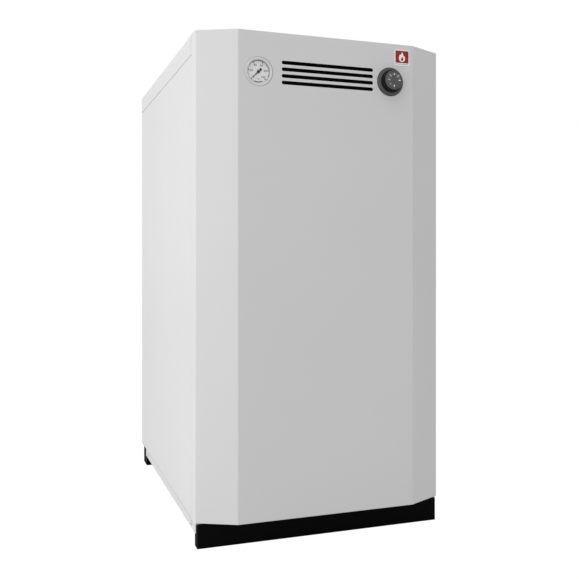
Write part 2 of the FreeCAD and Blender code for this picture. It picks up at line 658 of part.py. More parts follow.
def control_bracket():
    """Hat-shaped bracket behind the door's face that carries the thermometer and the thermostat."""
    front, back = "bracket_y", "door_d + door_gap"
    reach, foot = "bracket_x", "bracket_foot"
    half = [(reach, front), (reach, f"{back} - sheet_g"), (foot, f"{back} - sheet_g"), (foot, back),
            (f"{reach} - sheet_g", back), (f"{reach} - sheet_g", f"{front} + sheet_g")]
    body = new_body()
    pad(body, "XY", "bracket_z", "bracket_z + bracket_h", half + [(f"-({u})", v) for u, v in reversed(half)])
    drill(body, "XZ", f"{front} - 1", f"{front} + 3", [(("gauge_x", "face_z"), "gauge_body + 0.3"),
                                                       (("dial_knob_x", "face_z"), "5.2")])
    holes = [((f"{sign}(foot_screw_x)", z), "screw_hole") for sign in ("", "-") for z in BRACKET_SCREWS_Z]
    drill(body, "XZ", f"{back} - sheet_g - 1", f"{back} + 1", holes)
    part(body, "control_bracket")


def thermometer():
    """Round capillary thermometer: case with its clamp ring, dial, lens and needle."""
    centre, bore = ("gauge_x", "face_z"), "arbor_rad + pin_play"
    floor_y, rim_y = "dial_y + dial_g", "-gauge_proud"
    flange_y = "sheet_g + 0.4"
    case = new_body()
    revolve(case, [(bore, "gauge_back"), ("gauge_body", "gauge_back"), ("gauge_body", "bracket_y"),
                   ("gauge_flange", "bracket_y"), ("gauge_flange", flange_y), ("gauge_rad", flange_y),
                   ("gauge_rad", f"{rim_y} + bezel_edge"), ("gauge_rad - bezel_edge", rim_y),
                   ("lens_rad + 1", rim_y), ("lens_rad", "lens_y - 0.1"), ("lens_rad", floor_y),
                   (bore, floor_y)], centre)
    behind = "bracket_y + sheet_g"
    clamp = ring("y", centre, "gauge_rad + 4", "gauge_body - 1", behind, f"{behind} + 4")
    part(fuse(case, clamp), "thermometer_case")
    part(ring("y", centre, "lens_rad - 0.1", bore, "dial_y", floor_y), "thermometer_dial")
    part(rod("y", centre, "lens_rad - 0.05", "lens_y", "lens_y + lens_g"), "thermometer_lens")
    part(shaped(needle_shape(val("gauge_x"), val("needle_y"), val("face_z"))), "thermometer_needle")


def needle_shape(x, y, z):
    """Tapered pointer aimed at the scale's start, 45 degrees left of straight down, on its arbor."""
    tip, tail, half_width, half_tail, blade_g = 20.5, 6.5, 1.2, 1.2, 0.5
    boss_rad, boss_len, arbor_len = 2.6, 1.2, 8.0
    way, across = FreeCAD.Vector(-1, 0, -1).normalize(), FreeCAD.Vector(-1, 0, 1).normalize()
    along_y = FreeCAD.Vector(0, 1, 0)
    hub = FreeCAD.Vector(x, y + (boss_len - blade_g) / 2, z)
    back = hub - way * tail
    corners = [hub + way * tip, hub + across * half_width, back + across * half_tail,
               back - across * half_tail, hub - across * half_width]
    blade = Part.Face(Part.makePolygon(corners + corners[:1])).extrude(along_y * blade_g)
    boss = Part.makeCylinder(boss_rad, boss_len, FreeCAD.Vector(x, y, z), along_y)
    arbor = Part.makeCylinder(val("arbor_rad"), arbor_len, hub, along_y)
    return blade.fuse([boss, arbor]).removeSplitter()


def capillary(label, x, start_y, bulb_x):
    """Copper capillary from a control's back, swept down to its bulb in the sensor pocket."""
    z, end_z, front = val("face_z"), val("pocket_z"), val("lead_front")
    side = math.copysign(1, x)
    mouth = val("body_front - 10")
    points = [(x, start_y, z), (x, front, z), (x - side * 28, front + 18, z - 62),
              (x * 0.36, front + 26, end_z + 24), (bulb_x, front + 20, end_z), (bulb_x, mouth, end_z)]
    bulb_start, along_y = FreeCAD.Vector(bulb_x, mouth, end_z), FreeCAD.Vector(0, 1, 0)
    bulb = Part.makeCylinder(val("bulb_rad"), 50, bulb_start, along_y)
    part(shaped(tube_shape(points, 9, 1.0).fuse(bulb)), label)


def thermostat():
    """Capillary thermostat: housing, spindle and knob."""
    x, z = "dial_knob_x", "face_z"
    face, tip = "bracket_y + sheet_g", "-knob_proud"
    housing = block((f"{x} - stat_w/2", f"{x} + stat_w/2"), (face, f"{face} + stat_d"),
                    (f"{z} - stat_h/2", f"{z} + stat_h/2"))
    bush = rod("y", (x, z), "5", f"{face} - 5", face)
    bore = rod("y", (x, z), "spindle_rad + pin_play", f"{face} - 6", f"{face} + 14")
    part(cut(fuse(housing, bush), bore), "thermostat_housing")
    part(rod("y", (x, z), "spindle_rad", "-13", f"{face} + 12"), "thermostat_spindle")
    knob = new_body()
    revolve(knob, [("spindle_rad + 0.04", "knob_back"), ("knob_skirt", "knob_back"),
                   ("knob_skirt", "-skirt_proud + 1.2"), ("knob_skirt - 1.2", "-skirt_proud"),
                   ("knob_grip + 1", "-skirt_proud"), ("knob_grip", "-skirt_proud - 1"),
                   ("knob_tip", f"{tip} + 1.2"), ("knob_tip - 1.2", tip), ("knob_tip - 1.8", tip),
                   ("knob_tip - 1.8", f"{tip} + 0.7"), ("0", f"{tip} + 0.7"), ("0", "-13.2"),
                   ("spindle_rad + 0.04", "-13.2")], (x, z))
    part(knob, "thermostat_knob")


def sensor_pocket():
    """Brass pocket screwed into the water jacket for both capillary bulbs."""
    centre, neck = ("0", "pocket_z"), "pocket_head + 11"
    head = hexagon("y", centre, "13", "pocket_head", neck)
    barrel = rod("y", centre, "pocket_rad", neck, "pocket_end")
    bore = rod("y", centre, "pocket_rad - 1.5", "pocket_head - 1", "pocket_end - 10")
    part(cut(fuse(head, barrel), bore), "sensor_pocket")


# ---------- gas train ----------

def valve_rail():
    """Cross rail between the side panels, with the plate that holds the gas valve and the igniter."""
    height = ("valve_rail_z", "valve_rail_z + valve_rail_h")
    front = "door_d + door_gap + sheet_g"
    plate_z = ("gas_z - 24", "valve_rail_z + valve_rail_h")
    pieces = [block(centred("2*valve_rail_x"), ("rail_y", "rail_y + rail_g"), height),
              block(("-96", "valve_x + 70"), ("rail_y - rail_g", "rail_y"), plate_z)]
    for sign in ("-", ""):
        leg = mirrored(sign, "valve_rail_x - rail_g", "valve_rail_x")
        pieces.append(block(leg, (front, "rail_y + rail_g"), height))
        foot = mirrored(sign, "valve_rail_x - rail_g", "valve_rail_x + 22")
        pieces.append(block(foot, (front, f"{front} + rail_g"), height))
    hole = rod("y", ("piezo_x", "piezo_z"), "piezo_rad + 0.2", "rail_y - 5", "rail_y + 5")
    part(cut(fuse(*pieces), hole), "valve_rail")


def gas_valve():
    """Die-cast combination valve, the spindle that its tap knob pushes in, and the knob."""
    low_x, high_x = "valve_x - valve_w/2", "valve_x + valve_w/2"
    low_z, high_z = "gas_z - valve_h/2", "gas_z + valve_h/2"
    tap, line, back = ("tap_x", "gas_z"), ("gas_y", "gas_z"), "valve_y + valve_deep"
    casting = new_body()
    pad(casting, "XZ", "valve_y", back, rectangle((low_x, high_x), (low_z, high_z)))
    round_edges(casting, "4", lambda middle, way: near(abs(way.y), 1) or near(middle.y, val("valve_y")))
    cover_z = ("gas_z - cover_h/2", "gas_z + cover_h/2")
    bosses = [rod("x", line, "boss_rad", f"{high_x} - 2", f"{high_x} + boss_out"),
              rod("x", line, "boss_rad", f"{low_x} - boss_out", f"{low_x} + 2"),
              rod("y", tap, "tap_boss", "valve_y - 6", "valve_y + 2"),
              block(("valve_x + 2", "valve_x + 38"), ("valve_y - 9", "valve_y + 2"), cover_z),
              rod("y", ("valve_x + 20", "gas_z + 8"), "8", "valve_y - 14", "valve_y - 8"),
              rod("z", ("valve_lead_1", "gas_y"), "lead_boss", f"{low_z} - 7", f"{low_z} + 2"),
              rod("z", ("valve_lead_2", "gas_y"), "lead_boss", f"{low_z} - 7", f"{low_z} + 2"),
              rod("z", ("valve_x", "gas_y"), "9", f"{high_z} - 2", f"{high_z} + 9"),
              block(("valve_x - 20", "valve_x + 20"), (f"{back} - 2", "rail_y - rail_g"),
                    ("gas_z - 16", "gas_z + 16"))]
    bores = [rod("x", line, "gas_bore", f"{high_x} - 12", f"{high_x} + boss_out + 1"),
             rod("x", line, "supply_rad - 2", f"{low_x} - boss_out - 1", f"{low_x} + 12"),
             rod("y", tap, "spindle_push + pin_play", "valve_y - 7", "valve_y + 30")]
    part(cut(fuse(casting, *bosses), *bores), "gas_valve_body")
    part(rod("y", tap, "spindle_push", "tap_front + 8", "valve_y + 18"), "valve_spindle")
    skirt = rod("y", tap, "tap_rad", "tap_front + 6", "tap_front + tap_len")
    crown = taper("y", tap, "tap_rad - 4", "tap_rad - 2", "tap_front", "tap_front + 6")
    grip = block(("tap_x - 3", "tap_x + 3"), ("tap_front - 6", "tap_front + 1"), ("gas_z - 12", "gas_z + 12"))
    socket = rod("y", tap, "spindle_push + 0.04", "tap_front + 7.8", "tap_front + tap_len + 1")
    part(cut(fuse(skirt, crown, grip), socket), "valve_knob")


def gas_pipes():
    """Inlet pipe from the back along the right side, and the supply pipe down to the manifold."""
    x, y, z = val("gas_x"), val("gas_y"), val("gas_z")
    burner_z, along_y, along_x = val("burner_z"), FreeCAD.Vector(0, 1, 0), FreeCAD.Vector(1, 0, 0)
    end, thread_len = val("pipe_end"), val("thread_len")
    valve_in = val("valve_x + valve_w/2 + boss_out")
    valve_out = val("valve_x - valve_w/2 - boss_out")
    thread = Part.makeCylinder(val("gas_thread"), thread_len, FreeCAD.Vector(x, end - thread_len, z), along_y)
    line = [(x, end - thread_len, z), (x, y, z), (valve_in, y, z)]
    outer = tube_shape(line, val("gas_bend"), val("gas_rad")).fuse(thread)
    line = [(x, end + 1, z), (x, y, z), (valve_in - 1, y, z)]
    bore = tube_shape(line, val("gas_bend"), val("gas_bore"))
    part(shaped(outer.cut(bore).removeSplitter()), "gas_inlet_pipe")
    line = [(valve_out, y, z), (0, y, z), (0, y, burner_z + val("gas_rad") - 1.5)]
    outer = tube_shape(line, val("supply_bend"), val("supply_rad"))
    line = [(valve_out + 1, y, z), (0, y, z), (0, y, burner_z)]
    bore = tube_shape(line, val("supply_bend"), val("supply_rad - 2"))
    manifold = Part.makeCylinder(val("gas_rad"), 60, FreeCAD.Vector(-30, y, burner_z), along_x)
    part(shaped(outer.cut(bore).cut(manifold)), "burner_supply_pipe")


def union_nuts():
    """Hexagon nuts that draw both pipes onto the valve's bosses."""
    line = ("gas_y", "gas_z")
    high, low = "valve_x + valve_w/2", "valve_x - valve_w/2"
    inlet = cut(hexagon("x", line, "nut_rad", f"{high} + 2", f"{high} + 22"),
                rod("x", line, "gas_rad + 0.1", high, f"{high} + 23"),
                rod("x", line, "boss_rad + 0.1", high, f"{high} + boss_out + 0.2"))
    outlet = cut(hexagon("x", line, "nut_rad", f"{low} - 21", f"{low} - 2"),
                 rod("x", line, "supply_rad + 0.1", f"{low} - 22", low),
                 rod("x", line, "boss_rad + 0.1", f"{low} - boss_out - 0.2", low))
    part(group(inlet, outlet), "union_nuts")


def burner_x(number):
    """Middle of one burner, numbered 0 to 3 from the left."""
    return f"burner_pitch*{number - 1.5}"


def gas_manifold():
    """Bar that feeds the four injectors, on two arms bolted to the burner plate."""
    line, reach = ("gas_y", "burner_z"), "manifold_x"
    bar = rod("x", line, "gas_rad", f"-({reach})", reach)
    holes = [rod("x", line, "gas_bore", f"-({reach}) + 3", f"{reach} - 3"),
             rod("z", ("0", "gas_y"), "supply_rad - 2", "burner_z", "burner_z + 20")]
    holes += [rod("y", (burner_x(n), "burner_z"), "jet_rad", "gas_y", "gas_y + 20") for n in range(4)]
    height = ("burner_z - 8", "burner_z + 8")
    arms = []
    for sign in ("-", ""):
        arm_x = mirrored(sign, f"{reach} - 6", f"{reach} - 4")
        arm = block(arm_x, ("gas_y + gas_rad - 2", "plate_y"), height)
        foot_x = mirrored(sign, f"{reach} - 6", f"{reach} + 12")
        foot = block(foot_x, ("plate_y - 2", "plate_y"), height)
        arms += [arm, foot]
    part(fuse(cut(bar, *holes), *arms), "gas_manifold")


def gas_injectors():
    """Brass jets screwed into the manifold, one facing each burner's mouth."""
    collar_y = "gas_y + gas_rad + 0.3"
    jets = []
    for n in range(4):
        spot = (burner_x(n), "burner_z")
        collar = hexagon("y", spot, "collar_rad", collar_y, f"{collar_y} + jet_len")
        neck = rod("y", spot, "jet_rad", "gas_y + gas_bore", f"{collar_y} + 1")
        tip_y = f"{collar_y} + 2*jet_len"
        nose = taper("y", spot, "jet_rad + 1", "jet_rad - 1", f"{collar_y} + jet_len", tip_y)
        bore = rod("y", spot, "1", "gas_y", f"{tip_y} + 1")
        jets.append(cut(fuse(collar, neck, nose), bore))
    part(group(*jets), "gas_injectors")


def burner_tubes():
    """Four steel burners: flared mouth, venturi throat and a slotted flame tube closed at the end."""
    wall = [("burner_rad - 3", "burner_mouth"), ("cone_rad", "burner_mouth + 14"),
            ("throat_rad", "burner_throat"), ("burner_rad - 1", "burner_full"),
            ("burner_rad - 1", "burner_end - 1")]
    outline = [(f"{u} + 1", v) for u, v in wall[:4]] + [("burner_rad", "burner_end"), ("0", "burner_end"),
                                                        ("0", "burner_end - 1")] + wall[::-1]
    tubes = []
    for n in range(4):
        x = burner_x(n)
        tube = new_body()
        revolve(tube, outline, (x, "burner_z"))
        slots = []
        for k in range(14):
            slot_y = f"port_y + port_pitch*{k}"
            slots.append(block((f"{x} - port_w/2", f"{x} + port_w/2"), (slot_y, f"{slot_y} + port_len"),
                               ("burner_z + 12", "burner_z + burner_rad + 2")))
        tubes.append(cut(tube, *slots))
    part(group(*tubes), "burner_tubes")


STUDS = [(x, z) for x in ("-plate_w/2 + 9", "plate_w/2 - 9") for z in ("100", "210", "plate_z1 - 11")]
STUDS += [("0", "plate_z1 - 9")]


def burner_plate():
    """Plate that closes the furnace mouth, with its gasket and nuts."""
    front, back = "plate_y", "plate_y + plate_g"
    body = new_body()
    pad(body, "XZ", front, back, rectangle(centred("plate_w"), ("plate_z0", "plate_z1")))
    round_edges(body, "8", lambda middle, way: near(abs(way.y), 1))
    holes = [((burner_x(n), "burner_z"), "air_hole") for n in range(4)]
    holes += [(("sight_x", "sight_z"), "sight_rad - 2"), (("0", "pilot_z"), "6")]
    holes += [((f"{sign}pilot_side", "pilot_z"), "4") for sign in ("", "-")]
    holes += [(spot, "stud_rad + 0.3") for spot in STUDS]
    drill(body, "XZ", f"{front} - 1", f"{back} + 1", holes)
    part(body, "burner_front_plate")
    frame = block(centred("plate_w - 6"), (back, "body_front"), ("body_z0", "plate_z1 - 3"))
    mouth = block(centred("fire_w - 4"), (front, "body_front + 1"), ("body_z0 - 1", "fire_top - 2"))
    stud_holes = [rod("y", spot, "stud_rad + 0.3", front, "body_front + 1") for spot in STUDS]
    part(cut(frame, mouth, *stud_holes), "furnace_gasket")
    nuts = []
    for spot in STUDS:
        nut = hexagon("y", spot, "6.4", f"{front} - 5", front)
        nuts.append(fuse(nut, rod("y", spot, "stud_rad", f"{front} - 9", "body_front")))
    part(group(*nuts), "burner_plate_nuts")


def sight_glass():
    """Window in the burner plate, its frame with a pivot, and the flap that hangs over it."""
    x, z, front = "sight_x", "sight_z", "plate_y"
    pivot_z = f"{z} + flap_rise"
    rim = ring("y", (x, z), "sight_rad + 6", "sight_rad - 3", f"{front} - 5", f"{front} - 3")
    seat = ring("y", (x, z), "sight_rad + 6", "sight_rad + 0.5", f"{front} - 3", front)
    bridge = block((f"{x} - 4", f"{x} + 4"), (f"{front} - 5", front), (f"{z} + 18", pivot_z))
    pivot = rod("y", (x, pivot_z), "2.5", f"{front} - 12", front)
    part(fuse(rim, seat, bridge, pivot), "sight_glass_frame")
    part(rod("y", (x, z), "sight_rad + 0.3", f"{front} - 2.9", f"{front} - 0.2"), "sight_glass")
    depth = (f"{front} - 7.5", f"{front} - 6")
    leaf = rod("y", (x, z), "sight_rad + 4", *depth)
    neck = block((f"{x} - 8", f"{x} + 8"), depth, (z, pivot_z))
    eye = rod("y", (x, pivot_z), "8", *depth)
    lip = block((f"{x} - 6", f"{x} + 6"), depth, (f"{z} - 22", f"{z} - 15"))
    tab = block((f"{x} - 6", f"{x} + 6"), (f"{front} - 15", f"{front} - 6"), (f"{z} - 22", f"{z} - 20.5"))
    bore = rod("y", (x, pivot_z), "2.5 + pin_play", f"{front} - 9", front)
    part(cut(fuse(leaf, neck, eye, lip, tab), bore), "inspection_flap")


def pilot_set():
    """Pilot burner, spark electrode and thermocouple, with their tube and lead to the valve."""
    front, z, side = "plate_y", "pilot_z", "pilot_side"
    flange = block(centred("48"), (f"{front} - 2", front), (f"{z} - 13", f"{z} + 13"))
    stem = rod("y", ("0", z), "5", f"{front} - 8", f"{front} + 42")
    hood = block(centred("16"), (f"{front} + 35", f"{front} + 55"), (f"{z} - 7", f"{z} + 7"))
    flame = block(centred("12"), (f"{front} + 37", f"{front} + 53"), (f"{z} - 5", f"{z} + 8"))
    holes = [rod("y", (f"{sign}{side}", z), "3.6", f"{front} - 3", f"{front} + 1") for sign in ("", "-")]
    part(cut(fuse(flange, stem, cut(hood, flame)), *holes), "pilot_burner")
    spark = (f"-{side}", z)
    part(fuse(rod("y", spark, "3.5", f"{front} - 14", f"{front} + 35"),
              rod("y", spark, "1", f"{front} + 35", f"{front} + 52"),
              rod("y", spark, "1.6", f"{front} - 20", f"{front} - 14")), "spark_electrode")
    level, x, mouth = val(z), val(side), val(front)
    valve_low, valve_y = val("gas_z - valve_h/2 - 7"), val("gas_y")
    first, second = val("valve_lead_1"), val("valve_lead_2")
    tip = Part.makeCylinder(3.4, 62, FreeCAD.Vector(x, mouth - 12, level), FreeCAD.Vector(0, 1, 0))
    lead = tube_shape([(x, mouth - 11, level), (x, mouth - 32, level), (x + 27, mouth - 38, level - 8),
                       (second, valve_y, level + 15), (second, valve_y, valve_low)], 6, 1.3)
    part(shaped(tip.fuse(lead)), "thermocouple")
    tube = tube_shape([(0, mouth - 8, level), (0, mouth - 28, level), (30, mouth - 36, level + 18),
                       (first, valve_y, level + 50), (first, valve_y, valve_low)], 7, 2.0)
    part(shaped(tube), "pilot_gas_tube")


def igniter():
    """Piezo igniter clamped in the valve plate, its push button and the lead to the electrode."""
    spot = ("piezo_x", "piezo_z")
    barrel = rod("y", spot, "piezo_rad", "rail_y - 20", "rail_y + 18")
    collar = rod("y", spot, "piezo_rad + 4", "rail_y - rail_g - 3.5", "rail_y - rail_g")
    terminal = rod("z", ("piezo_x", "rail_y + 10"), "2.5", "piezo_z - 18", "piezo_z - 4")
    bore = rod("y", spot, "button_rad + pin_play", "rail_y - 21", "rail_y + 4")
    part(cut(fuse(barrel, collar, terminal), bore), "piezo_igniter")
    stem = rod("y", spot, "button_rad", "rail_y - 31", "rail_y - 6")
    cap = rod("y", spot, "button_rad + 2", "rail_y - 34", "rail_y - 30")
    part(fuse(stem, cap), "piezo_button")
    x, y, z = val("piezo_x"), val("rail_y"), val("piezo_z - 18")
    end_x, end_y, end_z = -val("pilot_side"), val("plate_y - 20"), val("pilot_z")
    points = [(x, y + 10, z), (x, y + 10, z - 24), (x + 24, y, z - 58), (end_x - 13, y - 8, end_z + 32),
              (end_x, y - 12, end_z), (end_x, end_y, end_z)]
    part(shaped(tube_shape(points, 6, 2.4)), "ignition_lead")


# ---------- heat exchanger ----------

def tube_spots():
    """Centres of the fire tubes, in four columns and three rows."""
    return [(f"tube_pitch_x*{column - 1.5}", f"tube_first_y + tube_pitch_y*{row}")
            for column in range(4) for row in range(3)]


def water_jacket():
    """Welded jacket around the furnace, open to the furnace below and at the front."""
    hull = block(centred("body_w"), ("body_front", "body_rear"), ("body_z0", "body_z1"))
    water = block(centred("body_w - 2*wall_g"), ("body_front + wall_g", "body_rear - wall_g"),
                  ("body_z0 + wall_g", "body_z1 - wall_g"))
    furnace = block(centred("fire_w"), ("body_front", "fire_rear"), ("body_z0", "fire_top"))
    fire = block(centred("fire_w - 2*wall_g"), ("body_front - 1", "fire_rear - wall_g"),
                 ("body_z0 - 1", "fire_top - wall_g"))
    holes = [rod("z", spot, "tube_rad + 0.1", "fire_top - wall_g - 1", "body_z1 + 1")
             for spot in tube_spots()]
    holes += [rod("y", ("water_x", level), "water_bore", "body_rear - 10", "body_rear + 1")
              for level in ("flow_z", "return_z")]
    holes.append(rod("y", ("0", "pocket_z"), "pocket_rad + 0.1", "body_front - 1", "body_front + 10"))
    ledge = block(centred("fire_w - 2*wall_g"), ("burner_end - 20", "burner_end - 14"),
                  ("burner_z - burner_rad - 12", "burner_z - burner_rad"))
    part(fuse(cut(fuse(cut(hull, water), furnace), fire, *holes), ledge), "water_jacket")


def fire_tubes():
    """Twelve tubes from the furnace up to the hood, each with a steel strip that slows the gases."""
    tubes = [ring("z", spot, "tube_rad", "tube_rad - wall_g", "fire_top - wall_g", "body_z1 + 2")
             for spot in tube_spots()]
    part(group(*tubes), "fire_tubes")
    strips = [block((f"{x} - strip_w/2", f"{x} + strip_w/2"), (f"{y} - 0.8", f"{y} + 0.8"),
                    ("fire_top + 60", "body_z1 - 6")) for x, y in tube_spots()]
    part(group(*strips), "turbulators")


def support_rails():
    """Two box-section rails on which the water jacket stands."""
    rails = []
    for sign in ("-", ""):
        outer = block(mirrored(sign, "body_w/2 - 20", "body_w/2 - 3"), ("body_front + 5", "body_rear - 5"),
                      ("base_top", "body_z0"))
        inner = block(mirrored(sign, "body_w/2 - 18", "body_w/2 - 5"), ("body_front", "body_rear"),
                      ("base_top + 2", "body_z0 - 2"))
        rails.append(cut(outer, inner))
    part(group(*rails), "support_rails")


def insulation():
    """Mineral wool around the water jacket; the front pad shows when the door is open."""
    side, level = "body_w/2", ("body_z0", "wool_top")
    width = centred("body_w + 2*wool_g")
    pads = [block(mirrored(sign, side, f"{side} + wool_g"), ("body_front", "body_rear"), level)
            for sign in ("-", "")]
    pipe_holes = [rod("y", ("water_x", height), "water_rad + 0.5", "body_rear - 1", "body_rear + wool_g + 1")
                  for height in ("flow_z", "return_z")]
    pads.append(cut(block(width, ("body_rear", "body_rear + wool_g"), level), *pipe_holes))
    part(group(*pads), "insulation_jacket")
    front = block(width, ("body_front - wool_g + 0.5", "body_front"), ("plate_z1 + 4", "wool_top"))
    hole = rod("y", ("0", "pocket_z"), "pocket_rad + 0.5", "body_front - wool_g - 1", "body_front + 1")
    part(cut(front, hole), "front_insulation_pad")


def water_pipe(label, level):
    """Steel stub with a threaded end behind the casing."""
    spot, thread_y = ("water_x", level), "pipe_end - water_thread_len"
    stub = rod("y", spot, "water_rad", "body_rear", thread_y)
    thread = rod("y", spot, "water_thread", thread_y, "pipe_end")
    part(cut(fuse(stub, thread), rod("y", spot, "water_bore", "body_rear - 1", "pipe_end + 1")), label)


# ---------- flue ----------

def flue_hood():
    """Sheet hood over the fire tubes, open below at the back as the draught break."""
    outer = [("hood_front", "body_z1"), ("hood_front", "hood_shoulder"), ("hood_slope_y", "hood_top"),
             ("hood_rear", "hood_top"), ("hood_rear", "relief_z"), ("relief_y", "relief_z"),
             ("relief_y", "body_z1")]
    inner = [("hood_front + sheet_g", "body_z1 - 1"), ("hood_front + sheet_g", "hood_shoulder - 0.7"),
             ("hood_slope_y + 0.3", "hood_top - sheet_g"), ("hood_rear - sheet_g", "hood_top - sheet_g"),
             ("hood_rear - sheet_g", "body_z1 - 1")]
    body = new_body()
    pad(body, "YZ", "-hood_w/2", "hood_w/2", outer)
    rim = rectangle(centred("hood_w + 12"), ("hood_front - 8", "body_rear"))
    pad(body, "XY", "body_z1", "body_z1 + sheet_g", rim)
    pocket(body, "YZ", "-hood_w/2 + sheet_g", "hood_w/2 - sheet_g", inner)
    drill(body, "XZ", "hood_rear - 3", "hood_rear + 1", [(("0", "flue_z"), "flue_rad - 1")])
    baffle = block(centred("hood_w - 2*sheet_g"), ("body_rear - 3", "body_rear - 1.5"),
                   ("body_z1 + sheet_g", "body_z1 + 38"))
    part(fuse(body, baffle), "flue_hood")


def flue_spigot():
    """Round outlet with a stop bead, for a flue pipe pushed over it."""
    centre = ("0", "flue_z")
    collar = rod("y", centre, "flue_rad + 3", "hood_rear", "hood_rear + sheet_g")
    tube = rod("y", centre, "flue_rad", "hood_rear", "flue_end")
    bead = rod("y", centre, "flue_bead", "flue_end - flue_len - 4", "flue_end - flue_len")
    bore = rod("y", centre, "flue_rad - 1", "hood_rear - 1", "flue_end + 1")
    part(cut(fuse(collar, tube, bead), bore), "flue_spigot")


def draught_sensor():
    """Flue-gas cut-out on the hood's left side, with its lead to the valve's top."""
    x, y, z = -val("hood_w/2"), val("sensor_y"), val("sensor_z")
    lead_x, lead_z, front = val("sensor_lead_x"), val("sensor_lead_z"), val("rail_y - 18")
    along_x = FreeCAD.Vector(1, 0, 0)
    disc = Part.makeCylinder(9, 8, FreeCAD.Vector(x - 8, y, z), along_x)
    cap = Part.makeCylinder(5, 5, FreeCAD.Vector(x - 13, y, z), along_x)
    valve_top = val("gas_z + valve_h/2 + 9")
    lead = tube_shape([(x - 12, y, z), (lead_x, y, z), (lead_x, front, z), (lead_x, front, lead_z),
                       (val("valve_x"), val("gas_y"), lead_z), (val("valve_x"), val("gas_y"), valve_top)],
                      14, 2.2)
    part(shaped(disc.fuse([cap, lead])), "draught_sensor")


def build():
    front_door()
    strike_plates()
    badge_plate()
    top_lid()
    side_panel("left_side_panel", "-")
    side_panel("right_side_panel", "")
    rear_panel()
    base_tray()
    front_end = "plinth_front + plinth_deep"
    plinth("front_plinth", "plinth_front", "plinth_deep",
           (f"{front_end} - 5", f"{front_end} + ear_len"), "rail_screw_y0")
    plinth("rear_plinth", "rear_plinth_y", "rear_plinth_deep",
           ("rear_plinth_y - 1.4*ear_len", "rear_plinth_y + 5"), "rail_screw_y1")
    radiation_shield()
    top_hinge_plate()
    lower_hinge_pin()
    magnetic_catches()
    casing_screws()
    control_bracket()
    thermometer()
    thermostat()
    capillary("thermometer_capillary", val("gauge_x"), val("gauge_back"), -val("bulb_x"))
    capillary("thermostat_capillary", val("dial_knob_x"), val("bracket_y + sheet_g + stat_d"), val("bulb_x"))
    sensor_pocket()
    valve_rail()
    gas_valve()
    gas_pipes()
    union_nuts()
    gas_manifold()
    gas_injectors()
    burner_tubes()
    burner_plate()
    sight_glass()
    pilot_set()
    igniter()
    water_jacket()
    fire_tubes()
    support_rails()
    insulation()
    water_pipe("flow_pipe", "flow_z")
    water_pipe("return_pipe", "return_z")
    flue_hood()
    flue_spigot()
    draught_sensor()


def export():
    """Checks every object and sub-part, then writes one STEP file per sub-part."""
    doc.removeObject(probe.Name)
    doc.recompute()
    for obj in doc.Objects:
        if "Invalid" in obj.State or "Error" in obj.State:
            raise RuntimeError(f"{obj.Label} ({obj.Name}) failed: {obj.State}")
    for obj in PARTS:
        shape = obj.Shape
        if shape.isNull() or not shape.isValid() or not shape.Solids:
            raise RuntimeError(f"{obj.Label} has no valid solid")
    os.makedirs("parts", exist_ok=True)
    for obj in PARTS:
        obj.Shape.exportStep(os.path.join("parts", f"{obj.Label}.step"))
        print(f"{obj.Label}: {len(obj.Shape.Solids)} solid(s), {obj.Shape.Volume / 1000:.1f} cm3")


build()
export()
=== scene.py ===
"""Looks of a floor-standing gas boiler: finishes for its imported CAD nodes, and the fine pieces
that CAD leaves plain, such as prints, screws, threads and insulation. Everything is in metres."""

import json
import math

import bmesh
import bpy
from mathutils import Matrix, Vector, noise


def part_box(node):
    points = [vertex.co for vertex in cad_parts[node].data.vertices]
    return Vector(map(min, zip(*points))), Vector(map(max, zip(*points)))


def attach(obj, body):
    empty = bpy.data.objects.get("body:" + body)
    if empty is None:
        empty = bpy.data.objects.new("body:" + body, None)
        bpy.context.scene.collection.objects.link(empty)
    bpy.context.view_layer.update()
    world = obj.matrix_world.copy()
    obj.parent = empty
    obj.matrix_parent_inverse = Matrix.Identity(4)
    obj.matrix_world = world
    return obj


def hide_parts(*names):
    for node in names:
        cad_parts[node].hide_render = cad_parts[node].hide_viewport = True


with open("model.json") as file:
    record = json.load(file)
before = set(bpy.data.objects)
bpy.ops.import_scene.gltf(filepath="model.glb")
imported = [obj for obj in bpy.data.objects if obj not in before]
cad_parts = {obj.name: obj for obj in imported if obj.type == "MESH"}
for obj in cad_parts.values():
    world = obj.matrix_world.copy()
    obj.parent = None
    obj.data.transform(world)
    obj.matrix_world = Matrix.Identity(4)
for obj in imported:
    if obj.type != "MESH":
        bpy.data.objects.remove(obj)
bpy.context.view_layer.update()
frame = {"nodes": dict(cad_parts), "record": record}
scene = bpy.context.scene
MM = 0.001
FRONT, BACK = (0, -1, 0), (0, 1, 0)


# ---------- camera, light and stage ----------

CAMERA_SPOT = (-0.5559, -1.7487, 0.5419)
CAMERA_TURN = -19.107
CAMERA_LENS = 48.18
CAMERA_SHIFT = -0.0579
AIM = Vector((0, 0, 0.5))
AMBIENT = 0.63
FLOOR = 8
FLOOR_GLOW = 1.1
FLOOR_GLOW_SHARE = 0.9
# name, azimuth, height, distance, size and power of each softbox
SOFTBOXES = (("key_left", -84, 0.9, 3.2, (1.6, 2.4), 48),
             ("key_front_left", -36, 1.1, 3.4, (0.7, 2.4), 6.5),
             ("top", -30, 3.2, 1.6, (1.6, 1.6), 12))


def make_camera():
    """Level camera to the front left, at the photograph's distance and height."""
    data = bpy.data.cameras.new("camera")
    data.lens = CAMERA_LENS
    data.sensor_width = 36
    data.shift_y = CAMERA_SHIFT
    camera = bpy.data.objects.new("camera", data)
    camera.location = CAMERA_SPOT
    camera.rotation_euler = (math.radians(90), 0, math.radians(CAMERA_TURN))
    scene.collection.objects.link(camera)
    scene.camera = camera


